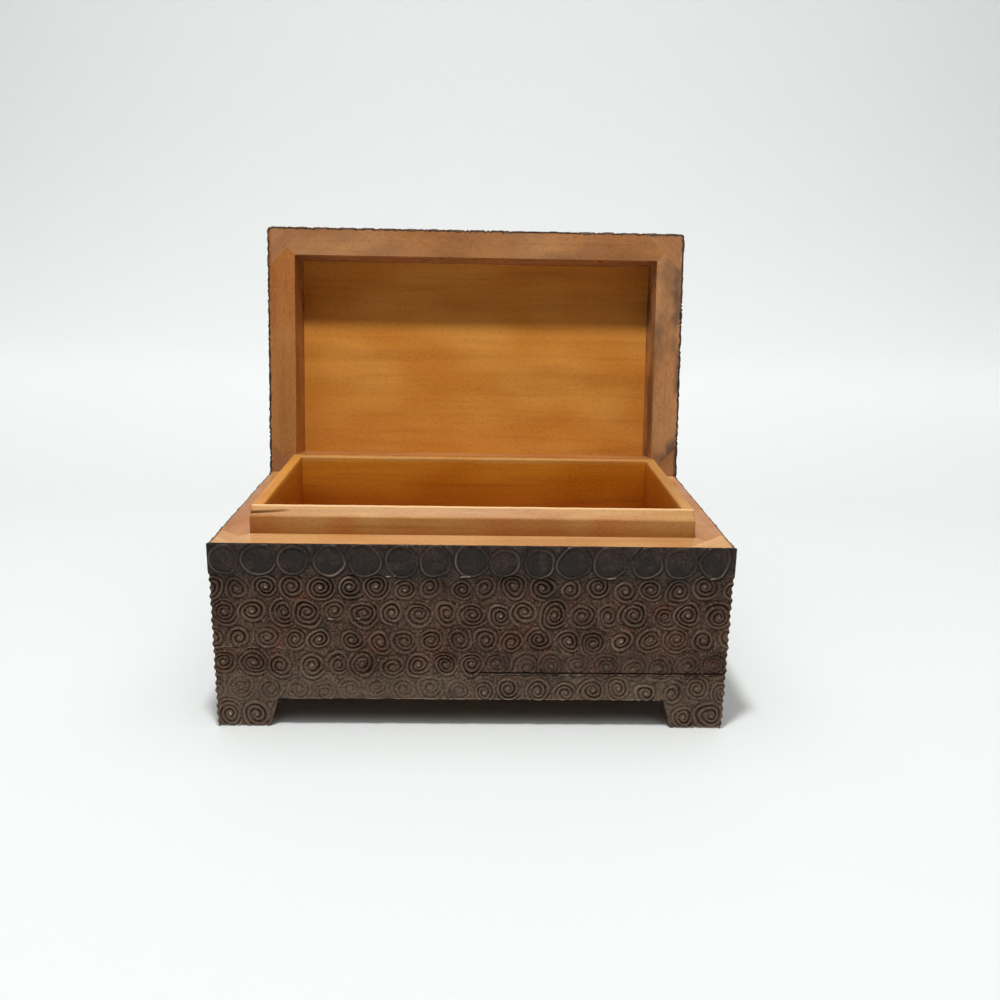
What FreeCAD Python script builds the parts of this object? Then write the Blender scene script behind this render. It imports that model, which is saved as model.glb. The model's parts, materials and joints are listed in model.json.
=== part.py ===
import FreeCAD, Part
import math
import os

# Hinged wooden keepsake box, millimetres, drawn with its lid standing open.
# X runs along the width, the front faces -Y and Z is up.
# The origin is on the floor, at the centre of the base's outline.

# Whole box
WIDTH = 178.0
DEPTH = 108.0
WALL = 12.0
BASE_HEIGHT = 67.3
LID_HOLLOW = 22.0
LID_BOARD = 9.0
LID_EDGE_ROUND = 2.0

# Plinth with bracket feet, and the bottom board that it holds up
PLINTH_HEIGHT = 20.8
FOOT_HEIGHT = 10.7
FOOT_WIDTH = 21.4
TOE_WIDTH = 18.5
FOOT_CORNER_ROUND = 1.2
TOE_CHAMFER = 1.2
BOTTOM_THICKNESS = 5.0
BOTTOM_REBATE = 6.0
BOTTOM_CLEARANCE = 0.2

# Lining boards, whose tops are the lip that the lid closes over
LINER_THICKNESS = 4.2
LIP_RISE = 9.5
LIP_BEVEL = 3.4
LIP_CLEARANCE = 0.5

# Three-cornered keys across the mitres, sawn in half between base and lid
KEY_LEG = 17.0
KEY_THICKNESS = 2.0

# Carving in its main forms: rows of low bosses below a plain band, and inside a plain border on the lid
BAND_HEIGHT = 10.5
LID_BORDER = 17.0
ROW_HEIGHT = 9.9
BOSS_PITCH = 9.4
ROW_CREST = 0.25
ROW_VALLEY = 0.95
BOSS_CREST = 0.35
BOSS_VALLEY = 0.8

# Lid motion: the back edges are bevelled alike and meet when the lid is open
OPEN_ANGLE = 98.5
HINGE_INSET = 4.0
RIM_GAP = 0.3
STOP_CLEARANCE = 0.1

# Brass butt hinges let into the rims
HINGE_FROM_END = 37.0
HINGE_LENGTH = 22.0
LEAF_WIDTH = 6.2
LEAF_THICKNESS = 0.8
LEAF_CLEARANCE = 0.1
BARREL_RADIUS = 1.5
BARREL_CLEARANCE = 0.3
LID_KNUCKLE = 8.0
KNUCKLE_GAP = 0.15
PIN_RADIUS = 0.7
PIN_FIT = 0.02
PIN_RUNNING = 0.05

# Countersunk screws, two in each leaf, with heads as deep as the leaf
SCREW_SPACING = 13.0
SCREW_LENGTH = 6.5
SCREW_RADIUS = 0.6
SCREW_HEAD_RADIUS = 1.15
SCREW_CLEARANCE = 0.05

# Places worked out from the sizes
HALF_WIDTH = WIDTH / 2
HALF_DEPTH = DEPTH / 2
LID_WALL = WALL - LIP_CLEARANCE
LID_RIM = BASE_HEIGHT + RIM_GAP
LID_CEILING = LID_RIM + LID_HOLLOW
AXIS_Y = HALF_DEPTH - HINGE_INSET
AXIS_Z = BASE_HEIGHT + RIM_GAP / 2
FLOOR_TOP = PLINTH_HEIGHT + BOTTOM_THICKNESS
LIP_TOP = BASE_HEIGHT + LIP_RISE
SCREW_Y = AXIS_Y - (BARREL_RADIUS + BARREL_CLEARANCE + LEAF_WIDTH) / 2

SIDES = ("front", "right", "back", "left")
CORNERS = ("front_left", "front_right", "back_right", "back_left")
HINGES = {"left": HINGE_FROM_END - HALF_WIDTH, "right": HALF_WIDTH - HINGE_FROM_END}
ALONG_X = FreeCAD.Vector(1, 0, 0)
ALONG_Y = FreeCAD.Vector(0, 1, 0)
ALONG_Z = FreeCAD.Vector(0, 0, 1)
SIDE_AXES = {
    "front": (ALONG_X, -ALONG_Y),
    "right": (ALONG_Y, ALONG_X),
    "back": (-ALONG_X, ALONG_Y),
    "left": (-ALONG_Y, -ALONG_X),
}


def block(x_range, y_range, z_range):
    """A box between two values on each axis."""
    low = FreeCAD.Vector(x_range[0], y_range[0], z_range[0])
    size = [pair[1] - pair[0] for pair in (x_range, y_range, z_range)]
    return Part.makeBox(*size, low)


def prism(points, sweep):
    """A flat outline, given by its corners, swept along a vector."""
    return Part.Face(Part.makePolygon(points + points[:1])).extrude(sweep)


def cylinder(radius, start, direction, length):
    """A round bar from a start point along a direction."""
    return Part.makeCylinder(radius, length, start, direction)


def plan_corners(inset):
    """The four corners of the box's outline in plan, moved inwards by an inset."""
    x = HALF_WIDTH - inset
    y = HALF_DEPTH - inset
    return [(-x, -y), (x, -y), (x, y), (-x, y)]


def mitred_frame(thickness, bottom, top):
    """Four boards round the outline that meet in 45 degree mitres, by side."""
    outer = plan_corners(0.0)
    inner = plan_corners(thickness)
    boards = {}
    for i, side in enumerate(SIDES):
        j = (i + 1) % len(SIDES)
        plan = (outer[i], outer[j], inner[j], inner[i])
        points = [FreeCAD.Vector(x, y, bottom) for x, y in plan]
        boards[side] = prism(points, ALONG_Z * (top - bottom))
    return boards


def corner_keys(bottom):
    """The three-cornered keys that fill the saw kerfs across the mitres, by corner."""
    keys = {}
    for name, (x, y) in zip(CORNERS, plan_corners(0.0)):
        step_x = -math.copysign(KEY_LEG, x)
        step_y = -math.copysign(KEY_LEG, y)
        plan = ((x, y), (x + step_x, y), (x, y + step_y))
        points = [FreeCAD.Vector(px, py, bottom) for px, py in plan]
        keys[name] = prism(points, ALONG_Z * KEY_THICKNESS)
    return keys


def zigzag(span, count, crest, valley, staggered=False):
    """A row of crests over a span: places along it and depths below the face, by turns low and high."""
    half_step = (span[1] - span[0]) / (2 * count)
    depths = (crest, valley) if staggered else (valley, crest)
    return [(span[0] + i * half_step, depths[i % 2]) for i in range(2 * count + 1)]


def comb(profile, along, inwards, start, sweep):
    """The wood outside a zigzag profile, from a start point on the face and swept along a vector."""
    clear = -WALL
    outline = profile + [(profile[-1][0], clear), (profile[0][0], clear)]
    return prism([start + along * s + inwards * depth for s, depth in outline], sweep)


def boss_cuts(centre, along, up, half_span, heights):
    """What carves a face into staggered bosses: a comb across all rows, and one along each row."""
    inwards = up.cross(along)
    rows = round((heights[1] - heights[0]) / ROW_HEIGHT)
    step = (heights[1] - heights[0]) / rows
    across = zigzag(heights, rows, ROW_CREST, ROW_VALLEY)
    cuts = [comb(across, up, inwards, centre - along * half_span, along * (2 * half_span))]
    bosses = round(2 * half_span / BOSS_PITCH)
    for row in range(rows):
        bottom = centre + up * (heights[0] + row * step)
        lengthwise = zigzag((-half_span, half_span), bosses, BOSS_CREST, BOSS_VALLEY, row % 2 == 1)
        cuts.append(comb(lengthwise, along, inwards, bottom, up * step))
    return cuts


def carved_side(side, board):
    """A board of the base or the plinth with its part of the side's rows of bosses."""
    along, outwards = SIDE_AXES[side]
    half_span, reach = (HALF_WIDTH, HALF_DEPTH) if along.y == 0 else (HALF_DEPTH, HALF_WIDTH)
    heights = (0.0, BASE_HEIGHT - BAND_HEIGHT)
    for cut in boss_cuts(outwards * reach, along, ALONG_Z, half_span, heights):
        board = board.cut(cut)
    return board


def stop_bevel(upwards):
    """The wedge cut off a back edge: -1 for the base's, below the axis, and 1 for the lid's, above it."""
    angle = math.radians(OPEN_ANGLE / 2)
    along = FreeCAD.Vector(0, math.cos(angle), upwards * math.sin(angle))
    into_wood = FreeCAD.Vector(0, -math.sin(angle), upwards * math.cos(angle))
    reach = DEPTH
    middle = FreeCAD.Vector(-WIDTH, AXIS_Y, AXIS_Z) + into_wood * STOP_CLEARANCE
    ends = [middle - along * reach, middle + along * reach]
    points = ends + [ends[1] - into_wood * reach, ends[0] - into_wood * reach]
    return prism(points, ALONG_X * (2 * WIDTH))


def barrel(radius, x_start, x_end):
    """A round bar on the lid's axis between two places along it."""
    return cylinder(radius, FreeCAD.Vector(x_start, AXIS_Y, AXIS_Z), ALONG_X, x_end - x_start)


def knuckle_spans(centre, on_lid):
    """Where along the axis a leaf has its knuckles: the lid's in the middle, the base's on both sides."""
    half = HINGE_LENGTH / 2
    middle = LID_KNUCKLE / 2
    if on_lid:
        return [(centre - middle, centre + middle)]
    return [(centre - half, centre - middle - KNUCKLE_GAP), (centre + middle + KNUCKLE_GAP, centre + half)]


def leaf_heights(on_lid):
    """The leaf's seat in the wood and its bare face, flush with the rim."""
    if on_lid:
        return LID_RIM + LEAF_THICKNESS, LID_RIM
    return BASE_HEIGHT - LEAF_THICKNESS, BASE_HEIGHT


def screw_shape(x, on_lid, allowance):
    """A countersunk screw, or with an allowance the hole that it fits."""
    top = FreeCAD.Vector(x, SCREW_Y, leaf_heights(on_lid)[1])
    shank = SCREW_RADIUS + allowance
    length = SCREW_LENGTH + allowance
    profile = (
        (0.0, 0.0),
        (SCREW_HEAD_RADIUS + allowance, 0.0),
        (shank, LEAF_THICKNESS),
        (shank, length),
        (0.0, length),
    )
    points = [top + ALONG_X * radius - ALONG_Z * depth for radius, depth in profile]
    screw = Part.Face(Part.makePolygon(points + points[:1])).revolve(top, ALONG_Z, 360)
    return screw.rotated(top, ALONG_X, 180) if on_lid else screw


def screws(centre, on_lid, allowance=0.0):
    """The two screws of one leaf, or their holes."""
    half = SCREW_SPACING / 2
    return [screw_shape(x, on_lid, allowance) for x in (centre - half, centre + half)]


def hinge_leaf(centre, on_lid):
    """One leaf: a plate flush with the rim, rolled into knuckles round the pin."""
    half = HINGE_LENGTH / 2
    plate = block(
        (centre - half, centre + half),
        (AXIS_Y - LEAF_WIDTH, AXIS_Y),
        sorted(leaf_heights(on_lid)),
    )
    for start, end in knuckle_spans(centre, not on_lid):
        room = barrel(BARREL_RADIUS + BARREL_CLEARANCE, start - KNUCKLE_GAP, end + KNUCKLE_GAP)
        plate = plate.cut(room)
    bore = PIN_RADIUS + (PIN_RUNNING if on_lid else PIN_FIT)
    leaf = plate.fuse([barrel(BARREL_RADIUS, *span) for span in knuckle_spans(centre, on_lid)])
    leaf = leaf.removeSplitter().cut(barrel(bore, centre - HINGE_LENGTH, centre + HINGE_LENGTH))
    return leaf.cut(screws(centre, on_lid, SCREW_CLEARANCE))


def hinge_pocket(centre, on_lid):
    """The wood taken out for one leaf, its barrel and its screws."""
    half = HINGE_LENGTH / 2 + LEAF_CLEARANCE
    seat = leaf_heights(on_lid)[0]
    pocket = block(
        (centre - half, centre + half),
        (AXIS_Y - LEAF_WIDTH - LEAF_CLEARANCE, AXIS_Y),
        sorted((seat, AXIS_Z)),
    )
    groove = barrel(BARREL_RADIUS + BARREL_CLEARANCE, centre - half, centre + half)
    return pocket.fuse([groove] + screws(centre, on_lid, SCREW_CLEARANCE))


def base_boards():
    """The four carved boards, rebated below for the bottom and cut for keys, hinges and the stop bevel."""
    boards = mitred_frame(WALL, PLINTH_HEIGHT, BASE_HEIGHT)
    inset = WALL - BOTTOM_REBATE
    rebate = block(
        (inset - HALF_WIDTH, HALF_WIDTH - inset),
        (inset - HALF_DEPTH, HALF_DEPTH - inset),
        (PLINTH_HEIGHT, FLOOR_TOP),
    )
    cuts = [rebate, stop_bevel(-1)] + list(corner_keys(BASE_HEIGHT - KEY_THICKNESS).values())
    boards = {side: board.cut(cuts) for side, board in boards.items()}
    pockets = [hinge_pocket(x, False) for x in HINGES.values()]
    boards["back"] = boards["back"].cut(pockets)
    return {"base_" + side: carved_side(side, board) for side, board in boards.items()}


def base_corner_keys():
    """The base's halves of the corner keys, bevelled with the back edge."""
    keys = corner_keys(BASE_HEIGHT - KEY_THICKNESS)
    bevel = stop_bevel(-1)
    return {"base_key_" + corner: key.cut(bevel) for corner, key in keys.items()}


def foot_gap(half_span, along, reach):
    """The cut-out between two bracket feet, with slanted ends and rounded upper corners."""
    across = ALONG_Z.cross(along)
    outline = (
        (half_span - TOE_WIDTH, 0.0),
        (half_span - FOOT_WIDTH, FOOT_HEIGHT),
        (FOOT_WIDTH - half_span, FOOT_HEIGHT),
        (TOE_WIDTH - half_span, 0.0),
    )
    points = [along * u + ALONG_Z * z - across * reach for u, z in outline]
    gap = prism(points, across * (2 * reach))
    upper = [e for e in gap.Edges if is_corner_edge(e, along, FOOT_HEIGHT)]
    return gap.makeFillet(FOOT_CORNER_ROUND, upper)


def is_corner_edge(edge, along, height):
    """Whether an edge lies level at a height and square to a direction."""
    ends = [v.Point for v in edge.Vertexes]
    level = all(math.isclose(p.z, height, abs_tol=1e-6) for p in ends)
    return level and abs((ends[1] - ends[0]).dot(along)) < 1e-6


def eased_toes(rail, along, half_span):
    """A rail with its feet's inner edges chamfered where they stand on the floor."""
    toes = [
        e
        for e in rail.Edges
        if is_corner_edge(e, along, 0.0)
        and math.isclose(abs(e.CenterOfMass.dot(along)), half_span - TOE_WIDTH, abs_tol=1e-6)
    ]
    return rail.makeChamfer(TOE_CHAMFER, toes)


def plinth_rails():
    """The four rails under the boards, cut out below so that bracket feet are left at the corners."""
    rails = {}
    for side, rail in mitred_frame(WALL, 0.0, PLINTH_HEIGHT).items():
        if side in ("front", "back"):
            along, half_span = ALONG_X, HALF_WIDTH
        else:
            along, half_span = ALONG_Y, HALF_DEPTH
        rail = rail.cut(foot_gap(half_span, along, WIDTH))
        rails["plinth_" + side] = carved_side(side, eased_toes(rail, along, half_span))
    return rails


def bottom_panel():
    """The bottom board, up inside the rebate and resting on the plinth."""
    inset = WALL - BOTTOM_REBATE + BOTTOM_CLEARANCE
    return block(
        (inset - HALF_WIDTH, HALF_WIDTH - inset),
        (inset - HALF_DEPTH, HALF_DEPTH - inset),
        (PLINTH_HEIGHT, FLOOR_TOP),
    )


def liner_boards():
    """The lining: front and back boards over the full width, side boards butted between them."""
    x_out = HALF_WIDTH - WALL
    y_out = HALF_DEPTH - WALL
    x_in = x_out - LINER_THICKNESS
    y_in = y_out - LINER_THICKNESS
    heights = (FLOOR_TOP, LIP_TOP)
    profile = (
        (-y_out, FLOOR_TOP),
        (-y_in, FLOOR_TOP),
        (-y_in, LIP_TOP),
        (LIP_BEVEL - y_out, LIP_TOP),
        (-y_out, LIP_TOP - LIP_BEVEL),
    )
    front = prism([FreeCAD.Vector(-x_out, y, z) for y, z in profile], ALONG_X * (2 * x_out))
    return {
        "liner_front": front,
        "liner_right": block((x_in, x_out), (-y_in, y_in), heights),
        "liner_back": block((-x_out, x_out), (y_in, y_out), heights),
        "liner_left": block((-x_out, -x_in), (-y_in, y_in), heights),
    }


def lid_rails():
    """The lid's four rails, drawn closed, cut for keys, hinges and the stop bevel."""
    rails = mitred_frame(LID_WALL, LID_RIM, LID_CEILING)
    cuts = [stop_bevel(1)] + list(corner_keys(LID_RIM).values())
    rails = {side: rail.cut(cuts) for side, rail in rails.items()}
    pockets = [hinge_pocket(x, True) for x in HINGES.values()]
    rails["back"] = rails["back"].cut(pockets)
    return {"lid_" + side: rail for side, rail in rails.items()}


def lid_corner_keys():
    """The lid's halves of the corner keys, drawn closed."""
    bevel = stop_bevel(1)
    return {"lid_key_" + corner: key.cut(bevel) for corner, key in corner_keys(LID_RIM).items()}


def lid_top():
    """The board over the lid's rails, drawn closed, eased along its upper edges and carved inside a border."""
    top = LID_CEILING + LID_BOARD
    board = block((-HALF_WIDTH, HALF_WIDTH), (-HALF_DEPTH, HALF_DEPTH), (LID_CEILING, top))
    edges = [e for e in board.Edges if all(math.isclose(v.Z, top) for v in e.Vertexes)]
    board = board.makeFillet(LID_EDGE_ROUND, edges)
    half_field = HALF_DEPTH - LID_BORDER
    for cut in boss_cuts(ALONG_Z * top, ALONG_X, ALONG_Y, HALF_WIDTH - LID_BORDER, (-half_field, half_field)):
        board = board.cut(cut)
    return board


def base_hardware():
    """The base leaves, the pins that they hold and the base's screws."""
    pieces = {}
    for side, x in HINGES.items():
        pieces[f"hinge_{side}_base_leaf"] = hinge_leaf(x, False)
        pieces[f"hinge_{side}_pin"] = barrel(PIN_RADIUS, x - HINGE_LENGTH / 2, x + HINGE_LENGTH / 2)
    solids = [screw for x in HINGES.values() for screw in screws(x, False)]
    pieces["base_hinge_screws"] = Part.makeCompound(solids)
    return pieces


def lid_hardware():
    """The lid leaves and the lid's screws, drawn closed."""
    pieces = {f"hinge_{side}_lid_leaf": hinge_leaf(x, True) for side, x in HINGES.items()}
    solids = [screw for x in HINGES.values() for screw in screws(x, True)]
    pieces["lid_hinge_screws"] = Part.makeCompound(solids)
    return pieces


def swung_open(shape):
    """A lid piece turned back about the hinges from closed to open."""
    return shape.rotated(FreeCAD.Vector(0, AXIS_Y, AXIS_Z), ALONG_X, -OPEN_ANGLE)


def all_pieces():
    """Every piece in its place, by name."""
    base = {**base_boards(), **plinth_rails(), "bottom_panel": bottom_panel(), **liner_boards()}
    base.update(base_corner_keys())
    base.update(base_hardware())
    lid = {**lid_rails(), "lid_top": lid_top(), **lid_corner_keys(), **lid_hardware()}
    return {**base, **{name: swung_open(shape) for name, shape in lid.items()}}


os.makedirs("parts", exist_ok=True)
for name, shape in all_pieces().items():
    shape.exportStep(f"parts/{name}.step")
    print(f"{name}: {len(shape.Solids)} solid(s), {shape.Volume:.1f} mm3, valid {shape.isValid()}")
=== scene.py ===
import json
import logging
import math
from dataclasses import dataclass, field, replace
from enum import Enum

import bmesh
import bpy
import numpy as np
from mathutils import Matrix, Vector

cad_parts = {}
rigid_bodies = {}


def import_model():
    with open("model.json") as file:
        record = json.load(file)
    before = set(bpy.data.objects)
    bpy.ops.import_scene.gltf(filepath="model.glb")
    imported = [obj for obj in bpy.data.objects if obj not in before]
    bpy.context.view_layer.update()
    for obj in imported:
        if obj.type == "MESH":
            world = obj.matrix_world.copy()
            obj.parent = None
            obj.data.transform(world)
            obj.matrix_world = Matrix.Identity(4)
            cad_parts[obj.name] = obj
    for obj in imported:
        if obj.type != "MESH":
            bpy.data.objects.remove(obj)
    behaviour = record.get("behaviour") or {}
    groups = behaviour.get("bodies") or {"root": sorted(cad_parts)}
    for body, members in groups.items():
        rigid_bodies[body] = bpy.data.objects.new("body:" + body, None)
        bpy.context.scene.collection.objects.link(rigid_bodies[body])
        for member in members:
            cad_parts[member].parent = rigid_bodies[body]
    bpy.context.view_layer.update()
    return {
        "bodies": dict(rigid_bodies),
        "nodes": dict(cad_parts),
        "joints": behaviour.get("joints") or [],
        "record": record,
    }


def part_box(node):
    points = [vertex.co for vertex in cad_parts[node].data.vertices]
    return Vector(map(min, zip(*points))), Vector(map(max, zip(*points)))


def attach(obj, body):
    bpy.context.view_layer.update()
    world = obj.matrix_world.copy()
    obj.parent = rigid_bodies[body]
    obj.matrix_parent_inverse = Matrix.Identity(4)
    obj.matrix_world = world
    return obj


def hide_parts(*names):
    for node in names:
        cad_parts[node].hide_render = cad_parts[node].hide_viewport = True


# Looks of a hinged wooden keepsake box: carved and stained outside, bare wood inside.
# Everything is in metres. The lid's pieces are shaped with the lid closed and then turned open.

LOG = logging.getLogger("keepsake_box")
MM = 0.001
TOUCH = 2e-6
LID_EDGE_ZONE = 5 * MM
NOISE_LATTICE = 256
GRAIN = "grain"
CARVING = "carving"
STAIN = "stain"

Colour = tuple[float, float, float, float]
Array = np.ndarray
Stroke = tuple[Array, Array, Array, Array]
Mesh = bmesh.types.BMesh
Socket = bpy.types.NodeSocket
Material = bpy.types.Material


def srgb(red: int, green: int, blue: int) -> Colour:
    """Linear colour with full alpha from the usual 0 to 255 values.

    Args:
        red, green, blue: the colour as a picture holds it.
    Returns:
        The colour as a shader socket takes it.
    """
    shares = (channel / 255 for channel in (red, green, blue))
    return (*(s / 12.92 if s <= 0.04045 else ((s + 0.055) / 1.055) ** 2.4 for s in shares), 1.0)


def ease(share: Array) -> Array:
    """A soft step from 0 to 1, flat at both ends."""
    held = np.clip(share, 0.0, 1.0)
    return held * held * (3 - 2 * held)


def hump(share: Array) -> Array:
    """A rounded ridge: 1 at 0, falling to 0 at a share of 1 on either side."""
    return 0.5 + 0.5 * np.cos(np.pi * np.clip(np.abs(share), 0.0, 1.0))


def smooth_noise(x: Array, y: Array, cell: float, seed: int) -> Array:
    """Seeded values from 0 to 1 that vary softly over a plane.

    Args:
        x, y: places on the plane.
        cell: the size of the patches.
        seed: which pattern it is.
    Returns:
        One value for each place.
    """
    lattice = np.random.default_rng(seed).random((NOISE_LATTICE, NOISE_LATTICE))
    column, row = np.floor(x / cell).astype(int), np.floor(y / cell).astype(int)
    along, up = ease(x / cell - column), ease(y / cell - row)

    def knot(right: int, above: int) -> Array:
        """The lattice value at a corner of each place's cell."""
        return lattice[(column + right) % NOISE_LATTICE, (row + above) % NOISE_LATTICE]

    lower = knot(0, 0) + (knot(1, 0) - knot(0, 0)) * along
    upper = knot(0, 1) + (knot(1, 1) - knot(0, 1)) * along
    return lower + (upper - lower) * up


def turn_about(place: Vector, angle: float) -> Matrix:
    """A turn about the hinge's direction through a place."""
    return Matrix.Translation(place) @ Matrix.Rotation(angle, 4, "X") @ Matrix.Translation(-place)


class Side(Enum):
    """A side of the box, by the word that ends the names of its boards."""

    FRONT = "front"
    RIGHT = "right"
    BACK = "back"
    LEFT = "left"

    @property
    def number(self) -> int:
        """How many quarter turns the side lies from the front."""
        return list(Side).index(self)

    @property
    def turn(self) -> Matrix:
        """The turn from a face's own axes, along, up and outward, to the box's."""
        upright = Matrix.Rotation(math.pi / 2, 4, "X")
        return Matrix.Rotation(self.number * math.pi / 2, 4, "Z") @ upright

    @property
    def is_long(self) -> bool:
        """Whether the side runs along the box's width."""
        return self in (Side.FRONT, Side.BACK)


class Ornament(Enum):
    """What one stroke of the carving makes."""

    RING = "plain ring"
    SPIRAL = "spiral"


class Pattern(Enum):
    """The noise patterns of a carved face, as steps from the face's seed."""

    MARKS = 0
    RUBBED = 1
    SWAY_ALONG = 3
    SWAY_UP = 4
    SCAR_PATH = 5
    SCAR_PATCHES = 6
    WORN_EDGE = 7
    PRESSURE = 8


@dataclass(frozen=True)
class BoxSizes:
    """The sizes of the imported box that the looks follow, with the lid closed."""

    half_width: float
    half_depth: float
    rim: float
    plinth_top: float
    lid_rim: float
    lid_ceiling: float
    lid_top: float
    band_bottom: float
    field_half_width: float
    field_half_depth: float
    hinge_place: Vector
    open_angle: float

    @classmethod
    def from_frame(cls, frame: dict) -> "BoxSizes":
        """Reads the sizes from the CAD nodes and the lid's joint.

        Args:
        Returns:
            The sizes.
        """
        joint = frame["joints"][0]
        place = Vector(joint["pos_m"])
        angle = math.radians(joint["range_deg"][1])
        low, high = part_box("base_front")
        closing = turn_about(place, angle)
        front = [v.co for v in frame["nodes"]["base_front"].data.vertices]
        rail = [(closing @ v.co).z for v in frame["nodes"]["lid_front"].data.vertices]
        board = [closing @ v.co for v in frame["nodes"]["lid_top"].data.vertices]
        top = max(p.z for p in board)
        wide, deep = high.x - LID_EDGE_ZONE, -low.y - LID_EDGE_ZONE
        inner = [p for p in board if p.z > top - TOUCH and abs(p.x) < wide and abs(p.y) < deep]
        return cls(
            half_width=high.x,
            half_depth=-low.y,
            rim=high.z,
            plinth_top=low.z,
            lid_rim=min(rail),
            lid_ceiling=max(rail),
            lid_top=top,
            band_bottom=min(p.z for p in front if p.y < low.y + TOUCH),
            field_half_width=max(abs(p.x) for p in inner),
            field_half_depth=max(abs(p.y) for p in inner),
            hinge_place=place,
            open_angle=angle,
        )

    @property
    def closing(self) -> Matrix:
        """The turn that brings the open lid down onto the base."""
        return turn_about(self.hinge_place, self.open_angle)

    def half_span(self, side: Side) -> float:
        """Half the length of a side's face."""
        return self.half_width if side.is_long else self.half_depth

    def reach(self, side: Side) -> float:
        """How far a side's face lies from the box's centre."""
        return self.half_depth if side.is_long else self.half_width


@dataclass
class CarvedSurface:
    """What the carving does at a set of places along and up a face."""

    u: Array
    v: Array
    height: Array
    # darkness from the hot tool, with painted shade on each stamp's shaded side, along the open joint and
    # beside the chips
    burn_and_shade: Array
    light: Array
    tint: Array
    wear: Array


@dataclass(frozen=True)
class RingCut:
    """The shape of a punched ring: a thin ridge between two shallow moats."""

    ridge: float = 0.4 * MM
    moat: float = 0.5 * MM
    moat_offset: float = 0.7 * MM
    margin: float = 1.2 * MM
    level: float = 0.8
    inner_depth: float = 0.2
    outer_depth: float = 0.3
    inner_burn: float = 0.2
    outer_burn: float = 0.4
    # painted highlight on the ring's ridge
    ridge_highlight: float = 0.95
    ridge_clean: float = 0.8


@dataclass(frozen=True)
class SpiralCut:
    """The shape of a gouged spiral: one groove that winds out from a nub."""

    start: float = 0.35
    groove: float = 0.55 * MM
    nub: float = 0.9 * MM
    margin: float = 0.75
    outer_groove: float = 0.6
    level: float = 0.8
    crest: float = 0.45
    outer_crest: float = 0.85
    # lightness of the nub's centre: wear plus a painted glint
    nub_wear_and_glint: float = 1.8


RING_CUT = RingCut()
SPIRAL_CUT = SpiralCut()


@dataclass(frozen=True)
class Stamp:
    """One carved ring or spiral on a face."""

    kind: Ornament
    u: float
    v: float
    radius: float
    phase: float = 0.0
    turns: float = 2.2
    wear: float = 0.5
    tint: float = 0.0
    # the direction of the stamp's side painted in shade; its red tint gathers there too
    dark_side: float = 0.8
    strength: float = 1.0

    @property
    def pitch(self) -> float:
        """The distance from one turn of a spiral to the next."""
        return self.radius / (self.turns + SPIRAL_CUT.start)

    @property
    def reach(self) -> float:
        """How far from its centre the stroke alters the wood."""
        is_ring = self.kind is Ornament.RING
        return self.radius + (RING_CUT.margin if is_ring else SPIRAL_CUT.margin * self.pitch)

    def profile(self, r: Array, angle: Array) -> Stroke:
        """How the stroke leaves the wood.

        Args:
            r: distances from the stamp's centre.
            angle: directions from the centre.
        Returns:
            Shares from 0 to 1: height, darkness from the hot tool with painted shade on the shaded side,
            lightness of the worn crests with painted highlights and glints, and tint, above 0 for red wood
            and below 0 for soot.
        """
        # How far each place lies towards the shaded side: the grooves there get painted shade, the crests
        # on the far side get painted highlights, and the red tint gathers towards it.
        toward_shade = 0.5 + 0.5 * np.cos(angle - self.dark_side)
        if self.kind is Ornament.RING:
            return self.ring(r, toward_shade)
        return self.spiral(r, angle, toward_shade)

    def ring(self, r: Array, toward_shade: Array) -> Stroke:
        """The profile of a plain ring.

        Args:
            r: distances from the stamp's centre.
            toward_shade: how far each place lies towards the stamp's side painted in shade.
        Returns:
            What profile gives.
        """
        cut = RING_CUT
        ridge = hump((r - self.radius) / cut.ridge)
        inner = hump((r - self.radius + cut.moat_offset) / cut.moat)
        outer = hump((r - self.radius - cut.moat_offset) / cut.moat)
        height = cut.level + (1 - cut.level) * ridge - cut.inner_depth * inner - cut.outer_depth * outer
        burn_and_shade = cut.inner_burn * inner + cut.outer_burn * outer
        soot = (1 - cut.ridge_clean * ridge) * (1 - self.tint * toward_shade)
        # The ridge gets a painted highlight, strongest on the side away from the shaded side.
        return height, burn_and_shade, cut.ridge_highlight * ridge * (1 - toward_shade) ** 1.5, -soot

    def spiral(self, r: Array, angle: Array, toward_shade: Array) -> Stroke:
        """The profile of a spiral.

        Args:
            r: distances from the stamp's centre.
            angle: directions from the centre.
            toward_shade: how far each place lies towards the stamp's side painted in shade.
        Returns:
            What profile gives.
        """
        cut = SPIRAL_CUT
        turned = ((angle - self.phase) / (2 * np.pi)) % 1.0
        along = r / self.pitch - cut.start - turned
        last = np.floor(self.turns - turned)
        ring = np.clip(np.round(along), 0, last)
        away = np.abs(along - ring)
        groove = hump((away - 0.5) * self.pitch / cut.groove) * ease(1.6 * r / self.pitch - 0.3)
        outside = (ring == last) & (along > ring)
        groove = np.where(outside, cut.outer_groove * groove, groove)
        crest = hump(2.2 * away) * (1 - groove) * np.where(ring == last, cut.outer_crest, cut.crest)
        nub = hump(r / cut.nub)
        height = (1 - groove) * (cut.level + (1 - cut.level) * np.maximum(crest, nub))
        # Crest lightness is wear plus a painted highlight away from the shaded side; the nub's lightness is
        # wear plus a painted glint.
        light = np.maximum(crest * (1.1 - 0.6 * toward_shade), cut.nub_wear_and_glint * nub)
        # Groove darkness is burn plus painted shade towards the shaded side.
        return height, groove * (0.5 + 0.5 * toward_shade), light, self.tint * (0.3 + 0.7 * toward_shade)


@dataclass(frozen=True)
class Scar:
    """A thin pale line where the stain has chipped off."""

    start: float
    end: float
    v: float
    width: float = 0.22 * MM
    wander: float = 0.35 * MM
    wander_size: float = 1.6 * MM
    patch_size: float = 1.2 * MM
    patchy: float = 1.7
    strength: float = 1.2


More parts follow.
